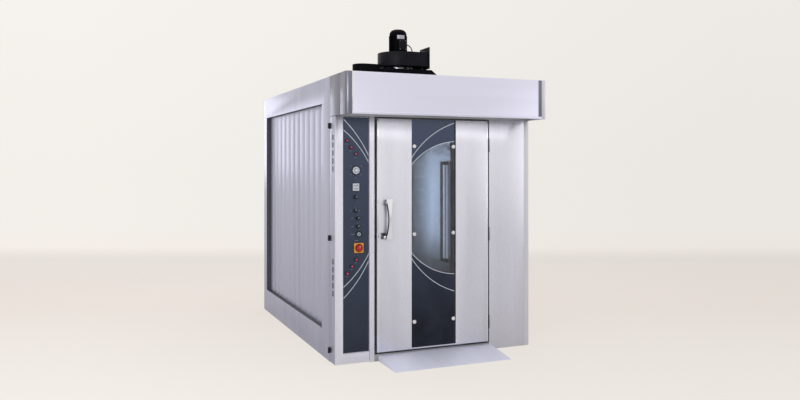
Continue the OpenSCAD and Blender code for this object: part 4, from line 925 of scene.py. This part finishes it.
class OvenDoorOperator(Builder, bpy.types.Operator):
    """Builds the oven door: skins with hems, printed glass, panes, studs and seal."""
    bl_idname = "rack_oven.oven_door"
    bl_label = "Oven door"

    inner_circle = ((1120, 1280), 580)
    outer_circle = ((1320, 1285), 771)
    edge = 0.016

    def build(self):
        eased_copy("door_core", "zinc sheet", 0.002)
        eased_copy("door_skins", "front steel", sizes().sheet_ease)
        eased_copy("door_gasket", "seal rubber", 0.0012, 1)
        eased_copy("door_inner_glass", "inner glass", 0.0008, 1)
        eased_copy("glass_studs", "polished steel", 0)
        self.add_hems()
        self.add_glass()

    def add_hems(self):
        # The hems are real folds; their bright glossy steel paints highlights along the skins'
        # edges.
        low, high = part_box("door_skins")
        glass_low, glass_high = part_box("door_outer_glass")
        width, glass_width = sizes().hem_width, 0.006
        for name, x0, x1, material in (
                ("door_hem_left", low.x, low.x + width, "bright steel"),
                ("door_hem_right", high.x - 0.7 * width, high.x, "bright steel"),
                ("glass_hem_left", glass_low.x - glass_width, glass_low.x, "stile steel"),
                ("glass_hem_right", glass_high.x, glass_high.x + glass_width, "stile steel")):
            eased_box(name, (x0, low.y - 0.0009, low.z), (x1, low.y + 0.001, high.z), 0.0004,
                      material, "door", "front_steel")

    def add_glass(self):
        """The glass, parted into its print and the clear part inside the inner stripe."""
        low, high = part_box("door_outer_glass")
        pane_edge = high.x - self.edge
        (centre_x, centre_z), radius = self.inner_circle

        def add_part(name, operation):
            pane = add_box(name, low, (pane_edge, high.y, high.z))
            clear_selection()
            bpy.ops.mesh.primitive_cylinder_add(
                vertices=360, radius=radius / 1000, depth=0.2,
                location=(along(centre_x), low.y, centre_z / 1000),
                rotation=(math.pi / 2, 0, 0))
            return cut_with(pane, settle(named("circle_cutter")), operation)

        hand_over(add_part("glass_print", "DIFFERENCE"), "glass print", "door", "slate_glass",
                  ["door_outer_glass"])
        hand_over(add_part("glass_vision", "INTERSECT"), "vision glass", "door", "slate_glass")
        # A black strip along the glass's right edge paints the shadow in the gap there.
        eased_box("glass_edge_shadow_strip", (pane_edge, low.y + 0.001, low.z), high, 0.0005,
                  "seal rubber", "door", "gasket_rubber")
        for name, circle in (("glass_stripe_inner", self.inner_circle),
                             ("glass_stripe_outer", self.outer_circle)):
            add_stripe(name, circle, low.y, (low.x, pane_edge, low.z, high.z), "door", 160)


class HandleOperator(Builder, bpy.types.Operator):
    """Polishes the bow handle and dresses its mounts and bolt; dark steel on the bow's flanks
    and on a dark copy beside it paints shade along the bow.
    """
    bl_idname = "rack_oven.handle"
    bl_label = "Handle and latch"

    def build(self):
        handle = eased_copy("door_handle", "bright steel", 0.0028, 3, 30)
        repaint(handle, "shaded handle flank", lambda middle, normal: abs(normal.x) > 0.5)
        # A dark copy, set a little left of and behind the bow, widens the painted shade.
        core = copy_moved(handle, "handle_shade_copy", Matrix.Translation((-0.006, 0.0025, 0)))
        hand_over(core, "shaded handle flank", BODY_OF["door_handle"])
        eased_copy("handle_mounts", "mount steel", 0.0012)
        eased_copy("latch_bolt", "blackened steel", 0.0015)


class HingesOperator(Builder, bpy.types.Operator):
    """Eases the hinges of both doors."""
    bl_idname = "rack_oven.hinges"
    bl_label = "Hinges"

    def build(self):
        eased_copy("hinge_pins", "hinge black", 0.0008, 2, 50)
        eased_copy("cabinet_knuckles", "hinge black", 0.0008, 2, 50)
        eased_copy("door_knuckles", "blackened steel", 0.0008, 2, 50)


class CabinetDoorOperator(Builder, bpy.types.Operator):
    """Builds the control cabinet's door: sheet, slate panel, stripes and vents."""
    bl_idname = "rack_oven.cabinet_door"
    bl_label = "Control cabinet's door"

    circles = (((-441, 1293), 831), ((-619, 1291), 1016))
    slot_pitch = 0.066

    def build(self):
        sheet = eased_copy("cabinet_door", "stile steel", 0.0008)
        repaint(sheet, "side steel", lambda middle, normal: normal.x < -0.7)
        # The slots' cut edges take flat black: painted shade in the slots.
        repaint(sheet, "vent shadow black", lambda middle, normal: abs(normal.x) < 0.6
                and middle.x < along(12) and back(36) < middle.y < back(72)
                and 0.5 < middle.z < 1.95)
        eased_copy("control_panel", "slate panel", 0.0008)
        low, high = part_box("control_panel")
        for number, circle in enumerate(self.circles):
            middle = circle[0][1] / 1000
            for part, z0, z1 in (("low", low.z, middle - 0.3), ("high", middle + 0.3, high.z)):
                add_stripe(f"panel_stripe_{number}_{part}", circle, low.y,
                           (low.x, high.x, z0, z1), "control_door")
        self.add_vent_louvres()

    def add_vent_louvres(self):
        """Three slanted blades behind each of the side leg's slots, in two rows of five, in flat
        black that paints the shade in the slots.
        """
        x, blades = CORNER.x, []
        for row, z0 in enumerate((0.564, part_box("cabinet_door")[1].z + 0.003 - 0.463)):
            for slot in range(5):
                for blade in range(3):
                    z = z0 + slot * self.slot_pitch + 0.009 + blade * 0.014
                    piece = add_box(f"louvre_{row}_{slot}_{blade}",
                                    (x + 0.0032, back(40), z - 0.0008),
                                    (x + 0.0115, back(68), z + 0.0008))
                    piece.data.transform(turned_about((x + 0.007, 0, z), math.radians(38), "Y"))
                    blades.append(piece)
            blades.append(add_box(
                f"louvre_back_{row}", (x + 0.012, back(38), z0 - 0.006),
                (x + 0.0135, back(70), z0 + 4 * self.slot_pitch + 0.052)))
        hand_over(join("vent_louvres", blades), "vent shadow black", "control_door", "hinge_black")


class ControlsOperator(Builder, bpy.types.Operator):
    """Builds lamps, dial, display, knobs, button, main switch and the plain marks."""
    bl_idname = "rack_oven.controls"
    bl_label = "Controls"

    # In millimetres along the front and up
    lamps = ((101, 1856), (138, 1800), (177, 1745), (184, 867), (146, 813), (105, 756))
    seven_segments = {"0": "abcdef", "2": "abged", "3": "abgcd", "5": "afgcd"}

    def build(self):
        self.face_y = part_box("control_panel")[0].y
        self.add_lamps()
        self.add_dial()
        self.add_display()
        self.add_knobs()
        self.add_main_switch()
        self.add_marks()

    def add_lamps(self):
        eased_copy("panel_bezels", "black plastic", 0.0012, 2, 50)
        (x, z), y = self.lamps[0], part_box("lamp_lenses")[1].y
        dome = add_turned("lens_domes", [(0.0082, -0.0004), (0.0082, 0.0012), (0.0074, 0.0022),
                                         (0.0058, 0.0031), (0.0034, 0.0037), (0.001, 0.0039)],
                          (along(x), y, z / 1000), OUTWARDS, 32)
        domes = row_of(dome, "lens_domes", [((lamp_x - x) / 1000, 0, (lamp_z - z) / 1000)
                                            for lamp_x, lamp_z in self.lamps[1:]])
        hand_over(domes, "red lens", "control_door", SLOT_OF["lamp_lenses"], ["lamp_lenses"])

    def add_dial(self):
        """A dark skirt with ticks, a white ring, a grey hub and its white cap."""
        low, high, centre = span("thermostat_dial")
        radius, rise = (high.x - low.x) / 2, self.face_y - low.y
        skirt = [(0.004, -0.02), (0.004, 0.0003), (radius, 0.0003), (radius, 0.0045),
                 (radius - 0.0015, 0.006)]
        ring = [(0.0295, 0.006), (0.0295, 0.0085), (0.028, 0.0102), (0.0235, 0.0102),
                (0.0225, 0.0086)]
        hub = [(0.0225, 0.0086), (0.0165, 0.009), (0.0135, 0.0115), (0.0125, rise - 0.002),
               (0.0105, rise)]
        cap = [(0.0122, rise - 0.0035), (0.0118, rise - 0.0008), (0.010, rise + 0.0006),
               (0.004, rise + 0.001)]
        for name, profile, sides, *look in (
                ("skirt", skirt, 72, "matte black", "thermostat_dial",
                 SLOT_OF["thermostat_dial"], ["thermostat_dial"]),
                ("ring", ring, 72, "white plastic", "thermostat_dial"),
                ("hub", hub, 48, "grey plastic", "thermostat_dial"),
                ("cap", cap, 40, "white plastic", "thermostat_dial")):
            hand_over(add_turned("dial_" + name, profile, (centre.x, self.face_y, centre.z),
                                 OUTWARDS, sides), *look)
        tick = add_box("dial_ticks",
                       (centre.x - 0.0009, self.face_y - 0.0063, centre.z + 0.031),
                       (centre.x + 0.0009, self.face_y - 0.0055, centre.z + 0.0345))
        hand_over(ring_of(tick, "dial_ticks", 12, (centre.x, 0, centre.z), "Y"),
                  "white marking", "thermostat_dial")

    def add_display(self):
        """A dark surround, a pale frame and two sunk windows with digits."""
        eased_copy("display_module", "black plastic", 0.0008)
        low, high, centre = span("display_module")
        frame = add_box("display_frame", (low.x + 0.005, low.y - 0.0012, low.z + 0.001),
                        (high.x - 0.005, low.y + 0.0006, high.z - 0.001))
        lower, upper = centre.z - 0.0135, centre.z + 0.0135
        for z in (lower, upper):
            cut_with(frame, add_box("display_cutter", (low.x + 0.010, low.y - 0.01, z - 0.0095),
                                    (high.x - 0.010, low.y + 0.01, z + 0.0095)))
        hand_over(ease_edges(frame, 0.0005), "white plastic", "control_door",
                  "display_plastic")
        y = low.y + 0.002
        for name, z, text in (("upper", upper, "230"), ("lower", lower, "025")):
            eased_box(f"display_pane_{name}", (low.x + 0.0072, y - 0.0004, z - 0.0098),
                      (high.x - 0.0072, y, z + 0.0098), 0.0002, "display field",
                      "control_door", "display_plastic")
            bars = []
            for place, letter in enumerate(text):
                bars += self.digit_bars(f"{name}_{place}", letter,
                                        centre.x + (place - 1) * 0.0128, z, y - 0.0006)
            hand_over(join(f"display_digits_{name}", bars), "display digit", "control_door")

    def digit_bars(self, label, letter, x, z, y):
        wide, tall, thick = 0.0038, 0.0062, 0.0011
        spots = {"a": (0, tall), "g": (0, 0), "d": (0, -tall), "b": (wide, tall / 2),
                 "c": (wide, -tall / 2), "f": (-wide, tall / 2), "e": (-wide, -tall / 2)}
        bars = []
        for key in self.seven_segments[letter]:
            dx, dz = spots[key]
            half_x, half_z = ((wide - thick * 0.6, thick / 2) if key in "agd"
                              else (thick / 2, tall / 2 - thick * 0.6))
            bars.append(add_box(f"bar_{label}_{key}", (x + dx - half_x, y, z + dz - half_z),
                                (x + dx + half_x, y + 0.0003, z + dz + half_z)))
        return bars

    def add_knobs(self):
        """Selector knobs with a white line on the grip, and the start button."""
        for node, angle in (("timer_knob", 50), ("steam_knob", 0), ("fan_knob", 40),
                            ("light_knob", 40)):
            eased_copy(node, "black plastic", 0.001, 2, 50)
            low, _, centre = span(node)
            mark = add_box(node + "_pointer", (0.0004, low.y - 0.0004, -0.002),
                           (0.0034, low.y + 0.001, 0.0134))
            mark.data.transform(Matrix.Translation((centre.x, 0, centre.z))
                                @ Matrix.Rotation(math.radians(angle), 4, "Y"))
            hand_over(ease_edges(mark, 0.0003), "white marking", node)
        eased_copy("start_button", "grey plastic", 0.001, 2, 50)
        low, _, centre = span("start_button")
        inlay = add_turned("start_button_inlay",
                           [(0.0078, -0.001), (0.0078, 0.0003), (0.0068, 0.0006)],
                           (centre.x, low.y, centre.z), OUTWARDS, 40)
        hand_over(inlay, "inlay slate", "start_button")

    def add_main_switch(self):
        """Yellow plate, a dark red ring round the red knob that paints the knob's shade, and
        four screws.
        """
        eased_copy("main_switch_plate", "yellow plastic", 0.002, 3)
        low, _, centre = span("main_switch_plate")
        place = (centre.x, low.y, centre.z)
        collar = add_turned("switch_knob_shade", [(0.034, -0.0005), (0.034, 0.002),
                                              (0.0318, 0.0036), (0.0285, 0.0036)],
                            place, OUTWARDS, 64)
        cutter = add_turned("switch_knob_shade_cutter", [(0.0265, -0.01), (0.0265, 0.01)], place,
                            OUTWARDS, 64)
        hand_over(cut_with(collar, cutter), "knob shade red plastic", "control_door",
                  "yellow_plastic")
        eased_copy("main_switch_knob", "red plastic", 0.0015, 3, 50)
        grip_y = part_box("main_switch_knob")[0].y
        line = add_box("switch_pointer", (centre.x - 0.0016, grip_y - 0.0004, centre.z),
                       (centre.x + 0.0016, grip_y + 0.001, centre.z + 0.021))
        hand_over(ease_edges(line, 0.0003), "white marking", "main_switch_knob")
        screw = add_screw("switch_screws", (low.x + 0.008, low.y, low.z + 0.008), OUTWARDS,
                          0.0028, 0.0012)
        screws = row_of(screw, "switch_screws",
                        [(0.064, 0, 0), (0, 0, 0.064), (0.064, 0, 0.064)])
        hand_over(screws, "zinc sheet", "control_door")

    def add_marks(self):
        """Plain printed dashes beside the controls."""
        marks = []

        def dash(node, dx, dz, width, height=0.0032):
            centre = span(node)[2] if isinstance(node, str) else node
            x, z = centre.x + dx, centre.z + dz
            marks.append(add_box(f"dash_{len(marks)}",
                                 (x - width / 2, self.face_y - 0.0003, z - height / 2),
                                 (x + width / 2, self.face_y + 0.0002, z + height / 2)))

        for side in (-1, 1):
            for level in (-1, 1):
                dash("thermostat_dial", side * 0.047, level * 0.036, 0.012)
        dash("thermostat_dial", -0.006, -0.062, 0.003, 0.012)
        for node, left, right in (("steam_knob", 0.034, 0.034), ("fan_knob", 0.046, 0),
                                  ("light_knob", 0.046, 0)):
            dash(node, -left, 0, 0.018)
            if right:
                dash(node, right, 0, 0.018)
            dash(node, 0, 0.024, 0.010)
        dash("start_button", -0.052, 0, 0.034, 0.004)
        dash("main_switch_plate", -0.018, 0.060, 0.030)
        for x, z in self.lamps:
            dash(Vector((along(x), 0, z / 1000)), 0, -0.028, 0.022)
        hand_over(join("panel_marks", marks), "faded marking", "control_door")


class FanUnitOperator(Builder, bpy.types.Operator):
    """Builds the extraction fan on the roof: box, collar, scroll, motor and cable."""
    bl_idname = "rack_oven.fan_unit"
    bl_label = "Extraction fan"

    motor_radius = 0.071
    cap_drop = 0.056
    collar_radius = 0.090
    cable_radius = 0.0045
    cable_bend = 0.064

    def build(self):
        low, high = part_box("extraction_impeller")
        self.x, self.y = (low.x + high.x) / 2, (low.y + high.y) / 2
        self.box_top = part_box("fan_scroll")[0].z
        self.add_cable()
        eased_copy("suction_box", "black paint", 0.003)
        eased_copy("fan_scroll", "fan side paint", 0.0014, 2, 50)
        eased_copy("extraction_motor", "black paint", 0.0014, 2, 50)
        eased_copy("extraction_impeller", "zinc sheet", 0)
        self.add_fins()
        self.add_bare_plate()
        self.add_terminal_lid()
        self.add_collar()
        self.add_bracket()

    def add_cable(self):
        """The motor's cable, one stiff arch from its terminal box to the scroll."""
        low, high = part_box("motor_cable")
        start = Vector((low.x, (low.y + high.y) / 2, high.z - self.cable_radius))
        bend = self.cable_bend
        points = [start + Vector((bend * math.sin(step * math.pi / 36), 0,
                                  bend * (math.cos(step * math.pi / 36) - 1)))
                  for step in range(19)]
        points.append(Vector((points[-1].x, start.y, low.z)))
        curve = bpy.data.curves.new("motor_cable_run", "CURVE")
        curve.dimensions = "3D"
        curve.bevel_depth = self.cable_radius
        curve.bevel_resolution = 5
        curve.use_fill_caps = True
        spline = curve.splines.new("POLY")
        spline.points.add(len(points) - 1)
        for spot, point in zip(spline.points, points):
            spot.co = (*point, 1)
        spline.use_smooth = True
        cable = bpy.data.objects.new("motor_cable_run", curve)
        bpy.context.scene.collection.objects.link(cable)
        curve.materials.append(finish("cable rubber"))
        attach(cable, "casing")
        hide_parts("motor_cable")

    def add_fins(self):
        low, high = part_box("extraction_motor")
        edge = self.x + self.motor_radius
        fin = add_box("motor_fin", (edge - 0.012, self.y - 0.0012, low.z + 0.010),
                      (edge + 0.0105, self.y + 0.0012, high.z - self.cap_drop - 0.001))
        fins = ring_of(fin, "motor_fins", sizes().fin_count, (self.x, self.y, 0), "Z")
        hand_over(fins, "black paint", "casing", "black_paint")

    def add_bare_plate(self):
        """A bare plate bent round the fins, cut from a block between two cylinders."""
        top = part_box("extraction_motor")[1].z
        radius = self.motor_radius + 0.011
        plate = add_box("motor_bare_plate", (-0.033, -radius - 0.001, top - 0.091),
                        (0.033, 0, top - 0.058))
        for reach, operation in ((radius - 0.001, "DIFFERENCE"), (radius + 0.0012, "INTERSECT")):
            cutter = add_turned("plate_cutter", [(reach, top - 0.12), (reach, top)],
                                (0, 0, 0), UPWARDS, 96)
            cut_with(plate, cutter, operation)
        plate.data.transform(Matrix.Translation((self.x, self.y, 0))
                             @ Matrix.Rotation(math.radians(-3), 4, "Z"))
        hand_over(plate, "bare plate", "casing", "galvanised_sheet")

    def add_terminal_lid(self):
        low = Vector((along(654), back(187.5), 2.667))
        high = Vector((along(719), back(192), 2.757))
        eased_box("terminal_lid", low, high, 0.002, "fan side paint", "casing", "black_paint",
                  3)
        screw = add_screw("terminal_screws", (low.x + 0.007, low.y, low.z + 0.007), OUTWARDS,
                          0.003, 0.0016)
        screws = row_of(screw, "terminal_screws",
                        [(0.051, 0, 0), (0, 0, 0.076), (0.051, 0, 0.076)])
        hand_over(screws, "zinc sheet", "casing")

    def add_collar(self):
        """The inlet collar's rolled beads, and the bolts round it."""
        radius = self.collar_radius
        beads = [(radius + out, height) for out, height in (
            (0.001, 0), (0.004, 0.0015), (0.004, 0.0045), (0.0015, 0.006), (0.0015, 0.0225),
            (0.004, 0.024), (0.004, 0.0275), (0.001, 0.029))]
        collar = add_turned("inlet_collar_band", beads,
                            (self.x, self.y, self.box_top + 0.0005), UPWARDS, 96)
        hand_over(collar, "polished steel", "casing", "casing_steel")
        bolt = add_turned("collar_bolts", [(0.006, -0.0005), (0.006, 0.005), (0.004, 0.006)],
                          (self.x + radius + 0.018, self.y, self.box_top), UPWARDS, 6)
        bolts = ring_of(bolt, "collar_bolts", 10, (self.x, self.y, 0), "Z")
        hand_over(bolts, "zinc sheet", "casing", "bright_steel")

    def add_bracket(self):
        """A folded bracket that carries the scroll's outlet: its web, foot and head."""
        parts = [add_box("outlet_bracket", (along(795), back(214), self.box_top + z0),
                         (along(884), back(depth), self.box_top + z1))
                 for depth, z0, z1 in ((217, -0.0005, 0.0305), (240, -0.0005, 0.0025),
                                       (240, 0.0275, 0.0305))]
        hand_over(join("outlet_bracket", parts), "black paint", "casing", "black_paint")


class RoofDrivesOperator(Builder, bpy.types.Operator):
    """Dresses the rack's gear motor and the circulation motor on the roof."""
    bl_idname = "rack_oven.roof_drives"
    bl_label = "Roof drives"

    def build(self):
        eased_copy("rack_drive_motor", "black paint", 0.003, 2, 50)
        eased_copy("circulation_motor", "black paint", 0.003, 2, 50)


class RACKOVEN_PT_panel(bpy.types.Panel):
    bl_label = "Rack oven"
    bl_space_type = "VIEW_3D"
    bl_region_type = "UI"
    bl_category = "Rack oven"

    def draw(self, context):
        layout = self.layout
        for group in (context.scene.rack_oven_sizes, context.scene.rack_oven_colours):
            for key in group.bl_rna.properties.keys():
                if key not in ("rna_type", "name"):
                    layout.prop(group, key)
        for operator in OPERATORS:
            layout.operator(operator.bl_idname)


OPERATORS = (StageOperator, CasingOperator, HoodOperator, ChamberOperator, OvenDoorOperator,
             HandleOperator, HingesOperator, CabinetDoorOperator, ControlsOperator,
             FanUnitOperator, RoofDrivesOperator)
CLASSES = (RackOvenSizes, RackOvenColours, *OPERATORS, RACKOVEN_PT_panel)


def register():
    for item in CLASSES:
        bpy.utils.register_class(item)
    bpy.types.Scene.rack_oven_sizes = bpy.props.PointerProperty(type=RackOvenSizes)
    bpy.types.Scene.rack_oven_colours = bpy.props.PointerProperty(type=RackOvenColours)


def unregister():
    del bpy.types.Scene.rack_oven_colours
    del bpy.types.Scene.rack_oven_sizes
    for item in reversed(CLASSES):
        bpy.utils.unregister_class(item)


def main():
    register()
    for operator in OPERATORS:
        group, name = operator.bl_idname.split(".")
        getattr(getattr(bpy.ops, group), name)()


if __name__ == "__main__":
    main()
